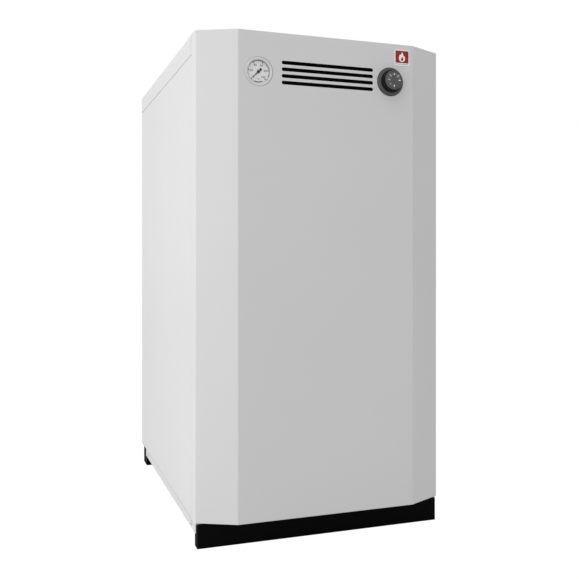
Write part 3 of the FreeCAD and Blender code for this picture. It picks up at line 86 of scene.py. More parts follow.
def area_light(name, azimuth, height, distance, size, power):
    """A softbox aimed at the boiler's middle; azimuth 0 is in front, and 90 to the right."""
    data = bpy.data.lights.new(name, "AREA")
    data.shape = "RECTANGLE"
    data.size, data.size_y = size
    data.energy = power
    light = bpy.data.objects.new(name, data)
    turn = math.radians(azimuth)
    light.location = (math.sin(turn) * distance, -math.cos(turn) * distance, height)
    light.rotation_euler = (AIM - light.location).to_track_quat("-Z", "Y").to_euler()
    scene.collection.objects.link(light)


def make_world():
    """White to the camera, and a dimmer even light on the boiler."""
    world = bpy.data.worlds.new("studio")
    scene.world = world
    world.use_nodes = True
    tree = world.node_tree
    tree.nodes.clear()
    seen = tree.nodes.new("ShaderNodeBackground")
    seen.inputs["Color"].default_value = (1, 1, 1, 1)
    lit = tree.nodes.new("ShaderNodeBackground")
    lit.inputs["Color"].default_value = (1, 1, 1, 1)
    lit.inputs["Strength"].default_value = AMBIENT
    rays = tree.nodes.new("ShaderNodeLightPath")
    mix = tree.nodes.new("ShaderNodeMixShader")
    output = tree.nodes.new("ShaderNodeOutputWorld")
    tree.links.new(rays.outputs["Is Camera Ray"], mix.inputs["Fac"])
    tree.links.new(lit.outputs["Background"], mix.inputs[1])
    tree.links.new(seen.outputs["Background"], mix.inputs[2])
    tree.links.new(mix.outputs["Shader"], output.inputs["Surface"])


def make_floor():
    """Pale floor, lit from within so that it stays as white as the backdrop."""
    tree, output = empty_material("studio_floor")
    diffuse = tree.nodes.new("ShaderNodeBsdfDiffuse")
    diffuse.inputs["Color"].default_value = (0.8, 0.8, 0.8, 1)
    glow = tree.nodes.new("ShaderNodeEmission")
    glow.inputs["Strength"].default_value = FLOOR_GLOW
    rays = tree.nodes.new("ShaderNodeLightPath")
    share = tree.nodes.new("ShaderNodeMath")
    share.operation = "MULTIPLY"
    share.inputs[1].default_value = FLOOR_GLOW_SHARE
    mix = tree.nodes.new("ShaderNodeMixShader")
    tree.links.new(rays.outputs["Is Camera Ray"], share.inputs[0])
    tree.links.new(share.outputs[0], mix.inputs["Fac"])
    tree.links.new(diffuse.outputs["BSDF"], mix.inputs[1])
    tree.links.new(glow.outputs["Emission"], mix.inputs[2])
    tree.links.new(mix.outputs["Shader"], output.inputs["Surface"])
    mesh = bpy.data.meshes.new("studio_floor")
    corners = [(-FLOOR, -FLOOR, 0), (FLOOR, -FLOOR, 0), (FLOOR, FLOOR, 0), (-FLOOR, FLOOR, 0)]
    mesh.from_pydata(corners, [], [(0, 1, 2, 3)])
    mesh.materials.append(bpy.data.materials["studio_floor"])
    floor = bpy.data.objects.new("studio_floor", mesh)
    scene.collection.objects.link(floor)


def make_stage():
    """Camera, backdrop, floor and softboxes, the strongest at the left."""
    scene.view_settings.view_transform = "Standard"
    make_camera()
    make_world()
    make_floor()
    for softbox in SOFTBOXES:
        area_light(*softbox)


# ---------- materials ----------

SCRIM = 12.5 * MM


def empty_material(name):
    """A material with only its output node."""
    material = bpy.data.materials.new(name)
    material.use_nodes = True
    tree = material.node_tree
    tree.nodes.clear()
    return tree, tree.nodes.new("ShaderNodeOutputMaterial")


class Finish:
    """A Principled material, with short calls for the nodes that the finishes share."""

    def __init__(self, name, metallic=0.0, **constants):
        self.name = name
        self.tree, output = empty_material(name)
        self.shader = self.tree.nodes.new("ShaderNodeBsdfPrincipled")
        self.tree.links.new(self.shader.outputs["BSDF"], output.inputs["Surface"])
        self.shader.inputs["Metallic"].default_value = metallic
        for key, value in constants.items():
            self.shader.inputs[key.replace("_", " ")].default_value = value
        self.place = self.tree.nodes.new("ShaderNodeTexCoord").outputs["Object"]

    def node(self, kind, **settings):
        made = self.tree.nodes.new(kind)
        for key, value in settings.items():
            setattr(made, key, value)
        return made

    def feed(self, socket, value):
        """Joins a socket to another, or sets its number."""
        if isinstance(value, bpy.types.NodeSocket):
            self.tree.links.new(value, socket)
        else:
            socket.default_value = value

    def scaled(self, stretch):
        """Object coordinates in metres, stretched per axis."""
        mapping = self.node("ShaderNodeMapping")
        mapping.inputs["Scale"].default_value = stretch
        self.feed(mapping.inputs["Vector"], self.place)
        return mapping.outputs["Vector"]

    def noise(self, scale, detail=2.0, stretch=None, distortion=0.0):
        made = self.node("ShaderNodeTexNoise")
        self.feed(made.inputs["Vector"], self.scaled(stretch) if stretch else self.place)
        made.inputs["Scale"].default_value = scale
        made.inputs["Detail"].default_value = detail
        made.inputs["Distortion"].default_value = distortion
        return made.outputs["Fac"]

    def cells(self, scale, output="Distance", feature="F1"):
        made = self.node("ShaderNodeTexVoronoi", feature=feature)
        self.feed(made.inputs["Vector"], self.place)
        made.inputs["Scale"].default_value = scale
        return made.outputs[output]

    def sum(self, a, b, operation="ADD"):
        made = self.node("ShaderNodeMath", operation=operation)
        self.feed(made.inputs[0], a)
        self.feed(made.inputs[1], b)
        return made.outputs[0]

    def span(self, value, low, high, from_low=0.3, from_high=0.7):
        """The value's usual range turned into low to high."""
        made = self.node("ShaderNodeMapRange")
        self.feed(made.inputs["Value"], value)
        made.inputs["From Min"].default_value = from_low
        made.inputs["From Max"].default_value = from_high
        made.inputs["To Min"].default_value = low
        made.inputs["To Max"].default_value = high
        return made.outputs["Result"]

    def ramp(self, value, *stops):
        """Colour stops, each a place from 0 to 1 and a colour."""
        made = self.node("ShaderNodeValToRGB")
        elements = made.color_ramp.elements
        while len(elements) < len(stops):
            elements.new(0.5)
        for element, (place, colour) in zip(elements, stops):
            element.position = place
            element.color = (*colour, 1)
        self.feed(made.inputs["Fac"], value)
        return made.outputs["Color"]

    def thread_lines(self, value):
        """Narrow ridges every SCRIM metres along a coordinate."""
        phase = self.sum(self.sum(value, SCRIM, "DIVIDE"), 1.0, "FLOORED_MODULO")
        return self.span(phase, 1, 0, 0.04, 0.12)

    def colour(self, value):
        self.feed(self.shader.inputs["Base Color"], value)

    def roughness(self, value):
        self.feed(self.shader.inputs["Roughness"], value)

    def bump(self, *layers):
        """Relief from (height socket, depth in metres) layers, each on top of the last."""
        normal = None
        for height, depth in layers:
            made = self.node("ShaderNodeBump")
            made.inputs["Distance"].default_value = depth
            self.feed(made.inputs["Height"], height)
            if normal:
                self.feed(made.inputs["Normal"], normal)
            normal = made.outputs["Normal"]
        self.feed(self.shader.inputs["Normal"], normal)

    def made(self):
        return bpy.data.materials[self.name]


def tint(colour, factor):
    """The colour made darker or lighter."""
    return tuple(min(1, channel * factor) for channel in colour)


def powder_coat(name, colour, gloss, specular=0.5, peel=0.00002, drift=0.02):
    """Powder coat: a faint orange peel, and sheet that isn't quite flat."""
    finish = Finish(name, Specular_IOR_Level=specular)
    finish.colour(finish.ramp(finish.noise(3, 3), (0.3, tint(colour, 1 - drift)), (0.7, colour)))
    finish.roughness(finish.span(finish.noise(160, 2), gloss - 0.04, gloss + 0.04))
    finish.bump((finish.noise(5, 1), 0.0006), (finish.noise(750, 2), peel))
    return finish.made()


def galvanised(name, colour, spangle=85):
    """Hot-dip zinc with its crystals, each a little lighter or duller than the next."""
    finish = Finish(name, metallic=1.0)
    crystal = finish.node("ShaderNodeSeparateColor")
    finish.feed(crystal.inputs["Color"], finish.cells(spangle, "Color"))
    shade = crystal.outputs["Red"]
    finish.colour(finish.ramp(shade, (0.0, tint(colour, 0.78)), (1.0, tint(colour, 1.08))))
    mottle = finish.sum(finish.sum(shade, 0.5, "MULTIPLY"), finish.noise(40, 4))
    finish.roughness(finish.span(mottle, 0.30, 0.52, 0.4, 1.2))
    finish.bump((finish.noise(300, 3), 0.00002), (shade, 0.00003))
    return finish.made()


def drawn_metal(name, colour, dark, gloss, scale=60):
    """Drawn or machined metal: fine scratches and dull patches."""
    finish = Finish(name, metallic=1.0)
    patches = finish.noise(scale, 5, distortion=0.4)
    finish.colour(finish.ramp(patches, (0.32, dark), (0.6, colour)))
    finish.roughness(finish.span(finish.noise(scale * 9, 4), gloss - 0.08, gloss + 0.12))
    finish.bump((finish.noise(scale * 16, 3, (1, 0.12, 1)), 0.00002))
    return finish.made()


def cast_metal(name, colour):
    """Die casting: a fine grain under a dull, slightly blotched skin."""
    finish = Finish(name, metallic=0.9)
    finish.colour(finish.ramp(finish.noise(45, 4), (0.35, tint(colour, 0.86)), (0.65, colour)))
    finish.roughness(finish.span(finish.noise(220, 3), 0.42, 0.6))
    finish.bump((finish.noise(1400, 2), 0.00005), (finish.noise(90, 2), 0.0001))
    return finish.made()


def black_pipe(name, colour):
    """Steel pipe with blue-grey mill scale and rubbed spots."""
    finish = Finish(name, metallic=0.55)
    blotches = finish.noise(38, 6, distortion=0.8)
    finish.colour(finish.ramp(blotches, (0.3, tint(colour, 0.6)), (0.55, colour),
                              (0.75, tint(colour, 2.2))))
    finish.roughness(finish.span(blotches, 0.62, 0.38))
    finish.bump((finish.noise(420, 4), 0.00006))
    return finish.made()


def heat_tinted(name, colour):
    """Stainless steel coloured straw, bronze and blue where flames heat it."""
    finish = Finish(name, metallic=1.0)
    heat = finish.noise(11, 3, (1, 0.6, 2.2))
    finish.colour(finish.ramp(heat, (0.30, colour), (0.45, (0.52, 0.40, 0.22)), (0.58, (0.33, 0.18, 0.12)),
                              (0.70, (0.16, 0.18, 0.30))))
    finish.roughness(finish.span(finish.noise(500, 4), 0.25, 0.45))
    finish.bump((finish.noise(900, 2, (1, 0.15, 1)), 0.00002))
    return finish.made()


def primed_plate(name, colour):
    """Welded plate in grey primer, with runs, dust and spatter."""
    finish = Finish(name)
    runs = finish.noise(24, 6, (1, 1, 0.5))
    finish.colour(finish.ramp(runs, (0.3, tint(colour, 0.7)), (0.7, tint(colour, 1.35))))
    finish.roughness(finish.span(finish.noise(90, 4), 0.6, 0.82))
    spatter = finish.span(finish.cells(120), 1, 0, 0.0, 0.16)
    finish.bump((finish.noise(260, 4), 0.00012), (spatter, 0.00035))
    return finish.made()


def crinkled_foil(name, colour):
    """Aluminium foil over mineral wool, creased, with its reinforcing threads showing through."""
    finish = Finish(name, metallic=0.95)
    apart = finish.node("ShaderNodeSeparateXYZ")
    finish.feed(apart.inputs["Vector"], finish.place)
    across = finish.sum(apart.outputs["X"], apart.outputs["Y"])
    threads = finish.sum(finish.thread_lines(across), finish.thread_lines(apart.outputs["Z"]), "MAXIMUM")
    finish.colour(finish.ramp(finish.noise(60, 4), (0.3, tint(colour, 0.82)), (0.7, colour)))
    finish.roughness(finish.span(finish.noise(130, 4), 0.26, 0.46))
    creases = finish.cells(70, feature="DISTANCE_TO_EDGE")
    finish.bump((finish.noise(30, 4, distortion=1.5), 0.0022), (creases, 0.0008), (threads, 0.00025))
    return finish.made()


def fibre(name, colour, rough=0.92, clump=260):
    """Pressed or loose mineral fibre."""
    finish = Finish(name, Sheen_Weight=0.2)
    strands = finish.noise(clump, 6, (1, 0.35, 1), 0.8)
    finish.colour(finish.ramp(strands, (0.3, tint(colour, 0.72)), (0.65, colour)))
    finish.roughness(rough)
    finish.bump((strands, 0.0007), (finish.noise(clump * 4, 4), 0.0002))
    return finish.made()


def moulded(name, colour, gloss, grain=0.00003, **constants):
    """Moulded plastic, rubber or glaze: a fine spark-eroded grain and faint flow marks."""
    finish = Finish(name, **constants)
    finish.colour(finish.ramp(finish.noise(35, 4), (0.3, tint(colour, 0.9)), (0.7, tint(colour, 1.06))))
    finish.roughness(finish.span(finish.noise(300, 3), gloss - 0.05, gloss + 0.06))
    finish.bump((finish.noise(2600, 2), grain))
    return finish.made()


def printed(name, colour, rough=0.55):
    """Printed ink: very slightly uneven in cover."""
    finish = Finish(name)
    finish.colour(finish.ramp(finish.noise(900, 3), (0.3, tint(colour, 0.93)), (0.6, colour)))
    finish.roughness(rough)
    finish.bump((finish.noise(3000, 2), 0.000008))
    return finish.made()


def clear_pane(name, colour, haze):
    """Thin clear pane that lets lamps through both ways: it shows what is behind, glossier at a slant."""
    tree, output = empty_material(name)
    through = tree.nodes.new("ShaderNodeBsdfTransparent")
    through.inputs["Color"].default_value = (*colour, 1)
    gloss = tree.nodes.new("ShaderNodeBsdfGlossy")
    speckle = tree.nodes.new("ShaderNodeTexNoise")
    speckle.inputs["Scale"].default_value = 400
    wipe = tree.nodes.new("ShaderNodeMapRange")
    wipe.inputs["To Min"].default_value = haze
    wipe.inputs["To Max"].default_value = haze * 2.5
    tree.links.new(speckle.outputs["Fac"], wipe.inputs["Value"])
    tree.links.new(wipe.outputs["Result"], gloss.inputs["Roughness"])
    slant = tree.nodes.new("ShaderNodeLayerWeight")
    rise = tree.nodes.new("ShaderNodeMath")
    rise.operation = "POWER"
    rise.inputs[1].default_value = 5
    share = tree.nodes.new("ShaderNodeMapRange")
    share.inputs["To Min"].default_value = 0.025
    tree.links.new(slant.outputs["Facing"], rise.inputs[0])
    tree.links.new(rise.outputs[0], share.inputs["Value"])
    mix = tree.nodes.new("ShaderNodeMixShader")
    tree.links.new(share.outputs["Result"], mix.inputs["Fac"])
    tree.links.new(through.outputs["BSDF"], mix.inputs[1])
    tree.links.new(gloss.outputs["BSDF"], mix.inputs[2])
    tree.links.new(mix.outputs["Shader"], output.inputs["Surface"])
    return bpy.data.materials[name]


FINISHES = {
    "casing_enamel": lambda n: powder_coat(n, (0.70, 0.70, 0.70), 0.42),
    "plinth_black": lambda n: powder_coat(n, (0.004, 0.004, 0.004), 0.5, 0.02),
    # near black on the control bracket: partly its own black paint; behind the door's vent slots it also
    # stands in for the shade inside the casing (painted shade)
    "bracket_black": lambda n: powder_coat(n, (0.004, 0.004, 0.004), 0.6, 0.02),
    "galvanised": lambda n: galvanised(n, (0.62, 0.64, 0.66)),
    "flue_steel": lambda n: galvanised(n, (0.66, 0.68, 0.70), 160),
    "zinc_screws": lambda n: drawn_metal(n, (0.80, 0.80, 0.79), (0.55, 0.55, 0.54), 0.40, 220),
    "bright_steel": lambda n: drawn_metal(n, (0.62, 0.62, 0.62), (0.44, 0.43, 0.42), 0.28),
    "copper": lambda n: drawn_metal(n, (0.78, 0.42, 0.28), (0.36, 0.17, 0.11), 0.30, 90),
    "brass": lambda n: drawn_metal(n, (0.78, 0.60, 0.28), (0.50, 0.36, 0.15), 0.28, 110),
    "valve_casting": lambda n: cast_metal(n, (0.66, 0.67, 0.68)),
    "gas_pipe": lambda n: black_pipe(n, (0.075, 0.077, 0.085)),
    "burner_steel": lambda n: heat_tinted(n, (0.50, 0.48, 0.45)),
    "boiler_steel": lambda n: primed_plate(n, (0.115, 0.115, 0.125)),
    "wool_foil": lambda n: crinkled_foil(n, (0.78, 0.79, 0.80)),
    "gasket_fibre": lambda n: fibre(n, (0.84, 0.82, 0.76)),
    "gauge_case": lambda n: moulded(n, (0.74, 0.74, 0.74), 0.38),
    "gauge_dial": lambda n: printed(n, (0.98, 0.98, 0.975)),
    "gauge_lens": lambda n: clear_pane(n, (0.995, 0.995, 0.995), 0.03),
    "sight_glass": lambda n: clear_pane(n, (0.85, 0.62, 0.35), 0.08),
    "needle_black": lambda n: printed(n, (0.012, 0.014, 0.014), 0.42),
    # near black, darker than the knob's own plastic: partly the grip's dark ribbed plastic, partly painted
    # shade on the grip's side
    "knob_grip": lambda n: moulded(n, (0.006, 0.006, 0.006), 0.5, Specular_IOR_Level=0.15),
    "knob_plastic": lambda n: moulded(n, (0.085, 0.085, 0.088), 0.48),
    "housing_grey": lambda n: moulded(n, (0.05, 0.052, 0.055), 0.46),
    "badge_white": lambda n: moulded(n, (0.95, 0.94, 0.94), 0.25, 0.00001),
    "button_red": lambda n: moulded(n, (0.33, 0.006, 0.005), 0.22, 0.00001),
    # dark grey of the strips at the side panels' feet: painted shadow of the seam
    "seal_foam": lambda n: fibre(n, (0.20, 0.20, 0.205), 0.9, 900),
    "lead_rubber": lambda n: moulded(n, (0.20, 0.035, 0.025), 0.5, 0.00002),
    "igniter_white": lambda n: moulded(n, (0.86, 0.84, 0.79), 0.16, 0.00001, Coat_Weight=0.4),
}


def finish(name):
    """The detailed material of a slot, made once; the frame's own plain ones keep their names."""
    own_name = f"{name}_finish"
    return bpy.data.materials.get(own_name) or FINISHES[name](own_name)


def paint_frame():
    """Gives each CAD node the finish of its slot in the record."""
    for sub_part in frame["record"]["subparts"]:
        node = frame["nodes"][sub_part["node"]]
        for place in node.material_slots:
            place.link = "OBJECT"
            place.material = finish(sub_part["material_slot"])


# ---------- mesh helpers ----------

class Shape:
    """Closed solids gathered in one mesh, in row-frame metres."""

    def __init__(self):
        self.mesh = bmesh.new()

    def face(self, corners):
        self.mesh.faces.new(corners)

    def loops(self, rings, closed_ends=True):
        """Skins a list of equal rings of points; the first and last rings are capped."""
        rows = [[self.mesh.verts.new(point) for point in ring] for ring in rings]
        count = len(rows[0])
        for one, other in zip(rows, rows[1:]):
            for k in range(count):
                self.face((one[k], one[(k + 1) % count], other[(k + 1) % count], other[k]))
        if closed_ends:
            self.face(rows[0][::-1])
            self.face(rows[-1])
        else:
            for k in range(count):
                self.face((rows[-1][k], rows[-1][(k + 1) % count], rows[0][(k + 1) % count], rows[0][k]))

    def prism(self, place, outline, near, far):
        """A flat outline given thickness from near to far along its place's third axis."""
        self.loops([[place @ Vector((u, v, w)) for u, v in outline] for w in (near, far)])

    def lathe(self, place, profile, steps=48):
        """A closed (radius, height) profile turned about the place's third axis."""
        rings = [[polar(place, r, math.tau * k / steps, h) for r, h in profile] for k in range(steps)]
        rows = [[self.mesh.verts.new(point) for point in ring] for ring in rings]
        for one, other in zip(rows, rows[1:] + rows[:1]):
            for k in range(len(profile)):
                after = (k + 1) % len(profile)
                self.face((one[k], one[after], other[after], other[k]))

    def turned(self, place, profile, steps=32):
        """A (radius, height) profile turned about the place's third axis, capped at both ends."""
        self.loops([[polar(place, r, math.tau * k / steps, h) for k in range(steps)] for r, h in profile])

    def take(self, mesh, place):
        """Adds a mesh, moved by place."""
        first = len(self.mesh.verts)
        self.mesh.from_mesh(mesh)
        self.mesh.verts.ensure_lookup_table()
        for vertex in self.mesh.verts[first:]:
            vertex.co = place @ vertex.co

    def piece(self, name, slot, body, smooth=None, look=None):
        """Makes the object; faces meeting at less than smooth degrees are shaded as one surface."""
        bmesh.ops.recalc_face_normals(self.mesh, faces=self.mesh.faces)
        mesh = bpy.data.meshes.new(name)
        self.mesh.to_mesh(mesh)
        self.mesh.free()
        if smooth:
            mesh.shade_smooth()
            mesh.set_sharp_from_angle(angle=math.radians(smooth))
        mesh.materials.append(finish(look or slot))
        made = bpy.data.objects.new(name, mesh)
        scene.collection.objects.link(made)
        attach(made, body)
        return made


def polar(place, radius, turn, height):
    """A point at an angle in radians around the place's third axis."""
    return place @ Vector((radius * math.cos(turn), radius * math.sin(turn), height))


def facing(normal, centre):
    """A place whose third axis points along normal, with its second axis as nearly up as it can be."""
    third = Vector(normal).normalized()
    up = Vector((0, 0, 1)) if abs(third.z) < 0.9 else Vector((0, 1, 0))
    first = up.cross(third).normalized()
    second = third.cross(first)
    turn = Matrix((first, second, third)).transposed().to_4x4()
    return Matrix.Translation(centre) @ turn


def clockwise(degrees, radius):
    """A point at an angle clockwise from twelve o'clock."""
    turn = math.radians(degrees)
    return radius * math.sin(turn), radius * math.cos(turn)


def arc_outline(inner, outer, start, end, steps=48):
    """A band between two radii from start to end, in degrees clockwise."""
    turns = [start + (end - start) * k / steps for k in range(steps + 1)]
    edge = [clockwise(turn, outer) for turn in turns]
    back = [clockwise(turn, inner) for turn in turns]
    return edge + back[::-1]


def bar_outline(degrees, inner, outer, width):
    """A radial bar."""
    (ax, ay), (bx, by) = clockwise(degrees, inner), clockwise(degrees, outer)
    sx, sy = clockwise(degrees + 90, width / 2)
    return [(ax - sx, ay - sy), (bx - sx, by - sy), (bx + sx, by + sy), (ax + sx, ay + sy)]


def disc_outline(centre, radius, steps=24):
    return [(centre[0] + radius * math.cos(math.tau * k / steps),
             centre[1] + radius * math.sin(math.tau * k / steps)) for k in range(steps)]


def lettering(shape, place, text, size, depth):
    """Raised characters centred at the place, facing its third axis."""
    data = bpy.data.curves.new("letters", "FONT")
    data.body, data.size, data.extrude = text, size, depth / 2
    data.align_x, data.align_y = "CENTER", "CENTER"
    data.resolution_u = 4
    made = bpy.data.objects.new("letters", data)
    scene.collection.objects.link(made)
    bpy.context.view_layer.update()
    mesh = bpy.data.meshes.new_from_object(made.evaluated_get(bpy.context.evaluated_depsgraph_get()))
    shape.take(mesh, place @ Matrix.Translation((0, 0, depth / 2)))
    bpy.data.objects.remove(made)
    bpy.data.curves.remove(data)
    bpy.data.meshes.remove(mesh)


def middle(node):
    low_corner, high_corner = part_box(node)
    return (low_corner + high_corner) / 2


def islands(node):
    """Boxes of the separate solids in a node, in order along x, y and z."""
    work = bmesh.new()
    work.from_mesh(frame["nodes"][node].data)
    bmesh.ops.remove_doubles(work, verts=work.verts, dist=0.00001)
    seen, boxes = set(), []
    for start in work.verts:
        if start in seen:
            continue
        seen.add(start)
        group, queue = [], [start]
        while queue:
            vertex = queue.pop()
            group.append(vertex.co.copy())
            for edge in vertex.link_edges:
                other = edge.other_vert(vertex)
                if other not in seen:
                    seen.add(other)
                    queue.append(other)
        boxes.append((Vector([min(p[i] for p in group) for i in range(3)]),
                      Vector([max(p[i] for p in group) for i in range(3)])))
    work.free()
    return sorted(boxes, key=lambda pair: tuple(round(value, 4) for value in pair[0]))


# ---------- thermometer ----------

PRINT = 0.00006
LIFT = 0.00001
SCALE_START, SCALE_STEP = 225, 54
SCALE_NUMBERS, TICKS_PER_STEP = 6, 10
# every how many ticks, where the tick starts as a share of the rim, and its width
TICKS = ((10, 0.76, 1.3 * MM), (5, 0.84, 0.8 * MM), (1, 0.885, 0.35 * MM))


def build_gauge():
    """The dial's prints with a painted shadow of the bezel along the scale's upper left, its seal, and the
    needle's hub cap and counterweight.
    """
    low_corner, high_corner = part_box("thermometer_dial")
    centre = middle("thermometer_dial")
    rim = (high_corner.x - low_corner.x) / 2
    dial = facing(FRONT, (centre.x, low_corner.y - LIFT, centre.z))
    steps = SCALE_NUMBERS - 1
    thin_end, wide_print_and_shadow_end = SCALE_START + steps * SCALE_STEP, SCALE_START + 3 * SCALE_STEP

    scale = Shape()
    scale.prism(dial, arc_outline(rim * 0.955, rim * 0.975, SCALE_START, thin_end), 0, PRINT)
    # the wider band from half past seven to about one o'clock is the printed scale arc widened into a
    # painted shadow of the bezel, as light from the upper left would cast it on the dial
    scale.prism(dial, arc_outline(rim * 0.925, rim * 0.955, SCALE_START, wide_print_and_shadow_end), 0, PRINT)
    for k in range(steps * TICKS_PER_STEP + 1):
        turn = SCALE_START + SCALE_STEP * k / TICKS_PER_STEP
        inner, width = next((start, width) for every, start, width in TICKS if k % every == 0)
        scale.prism(dial, bar_outline(turn, rim * inner, rim * 0.95, width), 0, PRINT)
    scale.piece("gauge_scale_and_bezel_shadow", "needle_black", "boiler")

    numerals = Shape()
    for k in range(SCALE_NUMBERS):
        u, v = clockwise(SCALE_START + SCALE_STEP * k, rim * 0.60)
        lettering(numerals, dial @ Matrix.Translation((u, v, 0)), str(20 * k), rim * 0.28, PRINT)
    numerals.piece("gauge_numerals", "needle_black", "boiler")

    unit = Shape()
    lettering(unit, dial @ Matrix.Translation((0, -rim * 0.60, 0)), "°C", rim * 0.27, PRINT)
    unit.prism(dial, arc_outline(rim * 0.80, rim * 0.88, 155, 205, 16), 0, PRINT)
    unit.piece("gauge_unit", "button_red", "boiler")

    seal = Shape()
    lens_low, lens_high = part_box("thermometer_lens")
    reach = (lens_high.x - lens_low.x) / 2
    place = facing(FRONT, (centre.x, lens_low.y - LIFT, centre.z))
    seal.lathe(place, [(reach - 0.9 * MM, 0), (reach - 0.02 * MM, 0), (reach - 0.02 * MM, 0.35 * MM),
                       (reach - 0.35 * MM, 0.5 * MM), (reach - 0.7 * MM, 0.4 * MM)], 72)
    seal.piece("gauge_seal", "gauge_case", "boiler", 40)

    needle_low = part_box("thermometer_needle")[0]
    hub = Shape()
    front = facing(FRONT, (centre.x, needle_low.y, centre.z))
    hub.turned(front, [(2.9 * MM, -0.1 * MM), (2.9 * MM, 0.25 * MM), (2.4 * MM, 0.5 * MM),
                       (1.1 * MM, 0.62 * MM)])
    tail = Vector((1, 0, 1)).normalized() * 6.2 * MM
    weight = facing(FRONT, Vector((centre.x, needle_low.y + 0.85 * MM, centre.z)) + tail)
    hub.turned(weight, [(2.3 * MM, -0.1 * MM), (2.3 * MM, 0.75 * MM), (2.0 * MM, 0.9 * MM)])
    hub.piece("gauge_hub_cap", "needle_black", "gauge_needle", 35)


# ---------- thermostat knob ----------

GRIP_RADIUS, GRIP_TAPER = 21.9 * MM, 3.5 * MM
RIBS = 60


def build_knob():
    """The knob's printed face, its marks and the ribs round its grip."""
    low_corner, high_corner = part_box("thermostat_knob")
    centre = middle("thermostat_knob")
    tip = low_corner.y
    recess, depth, disc_g = 16.6 * MM, 0.7 * MM, 0.42 * MM
    face = facing(FRONT, (centre.x, tip + depth, centre.z))
    disc = Shape()
    edge = recess - 0.1 * MM
    disc.turned(face, [(edge, LIFT), (edge, 0.3 * MM), (recess - 0.5 * MM, disc_g)], 72)
    disc.piece("knob_face", "knob_plastic", "dial_knob", 35)

    marks = Shape()
    top = face @ Matrix.Translation((0, 0, disc_g + LIFT))
    for turn in (180, 90):
        marks.prism(top, bar_outline(turn, recess * 0.56, recess * 0.82, 1.8 * MM), 0, PRINT)
    for k in range(5):
        turn = 225 + 45 * k
        u, v = clockwise(turn, recess * 0.67)
        turned = Matrix.Translation((u, v, 0)) @ Matrix.Rotation(-math.radians(turn), 4, "Z")
        lettering(marks, top @ turned, str(k + 1), recess * 0.42, PRINT)
    for k in range(6):
        spot = clockwise(202.5 + 45 * k, recess * 0.74)
        marks.prism(top, disc_outline(spot, 0.55 * MM, 12), 0, PRINT)
    marks.piece("knob_marks", "badge_white", "dial_knob")

    ribs = Shape()
    foot = facing(FRONT, (centre.x, high_corner.y, centre.z))
    low_h, high_h = 7 * MM, high_corner.y - tip - 1.3 * MM

    def skin(height):
        """The grip's radius, which narrows to the front."""
        share = (height - low_h) / (high_h - low_h)
        return GRIP_RADIUS - GRIP_TAPER * share

    ribs.lathe(foot, [(skin(low_h) - 0.3 * MM, low_h), (skin(low_h) + 0.08 * MM, low_h),
                      (skin(high_h) + 0.08 * MM, high_h), (skin(high_h) - 0.3 * MM, high_h)], 90)
    for k in range(RIBS):
        turn = math.tau * (k + 0.5) / RIBS
        around = Vector((math.cos(turn), math.sin(turn), 0))
        side = Vector((-around.y, around.x, 0)) * 0.45 * MM
        rings = []
        for height, proud in ((low_h, 0.4), (high_h - 0.8 * MM, 0.4), (high_h - 0.02 * MM, 0.1)):
            up, root = Vector((0, 0, height)), skin(height)
            rings.append([foot @ (around * (root - 0.2 * MM) - side + up),
                          foot @ (around * (root + 0.1 * MM) - side + up),
                          foot @ (around * (root + 0.1 * MM + proud * MM) + up),
                          foot @ (around * (root + 0.1 * MM) + side + up),
                          foot @ (around * (root - 0.2 * MM) + side + up)])
        ribs.loops(rings)
    # the ribs take a darker copy of the knob's plastic: partly its real dark grip, partly painted shade on
    # the grip's side
    ribs.piece("knob_ribs", "knob_plastic", "dial_knob", None, "knob_grip")


# ---------- badge ----------

# flame outlines, as shares of the panel's height, rounded before use
FLAME = [(0.0, -0.40), (0.17, -0.36), (0.27, -0.22), (0.28, -0.05), (0.20, 0.12), (0.16, 0.02),
         (0.10, 0.18), (0.04, 0.42), (-0.06, 0.26), (-0.14, 0.12), (-0.16, 0.22), (-0.26, 0.04),
         (-0.29, -0.12), (-0.24, -0.28), (-0.13, -0.38)]
FLAME_HEART = [(0.0, -0.33), (0.09, -0.29), (0.12, -0.18), (0.07, -0.07), (0.02, 0.03), (-0.05, -0.08),
               (-0.11, -0.18), (-0.08, -0.29)]


def build_badge():
    """A red square with a plain white flame on the white plate, over a row of plain dashes."""
    low_corner, high_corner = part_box("badge_plate")
    width, height = high_corner.x - low_corner.x, high_corner.z - low_corner.z
    centre = Vector((middle("badge_plate").x, low_corner.y - LIFT, high_corner.z - height * 0.45))
    place = facing(FRONT, centre)
    half_w, half_h, cut = width * 0.445, height * 0.375, 0.6 * MM
    panel = Shape()
    panel.prism(place, [(-half_w, -half_h + cut), (-half_w + cut, -half_h), (half_w - cut, -half_h),
                        (half_w, -half_h + cut), (half_w, half_h - cut), (half_w - cut, half_h),
                        (-half_w + cut, half_h), (-half_w, half_h - cut)], 0, PRINT)
    panel.piece("badge_panel", "button_red", "door")
    dashes = Shape()
    low, high = -half_h - 2.9 * MM, -half_h - 1.9 * MM
    for k in range(-3, 4):
        left, right = (k * 0.29 - 0.1) * half_w, (k * 0.29 + 0.1) * half_w
        dashes.prism(place, [(left, low), (right, low), (right, high), (left, high)], 0, PRINT)
    dashes.piece("badge_dashes", "needle_black", "door")
    flame = Shape()
    over = place @ Matrix.Translation((0, 0, PRINT + LIFT))
    scale = half_h * 2.05
    flame.prism(over, [(u * scale, v * scale) for u, v in rounded_loop(FLAME)], 0, PRINT)
    flame.piece("badge_flame", "badge_white", "door")
    heart = Shape()
    heart.prism(over @ Matrix.Translation((0, 0, PRINT + LIFT)),
                [(u * scale, v * scale) for u, v in rounded_loop(FLAME_HEART)], 0, PRINT)
    heart.piece("badge_heart", "button_red", "door")


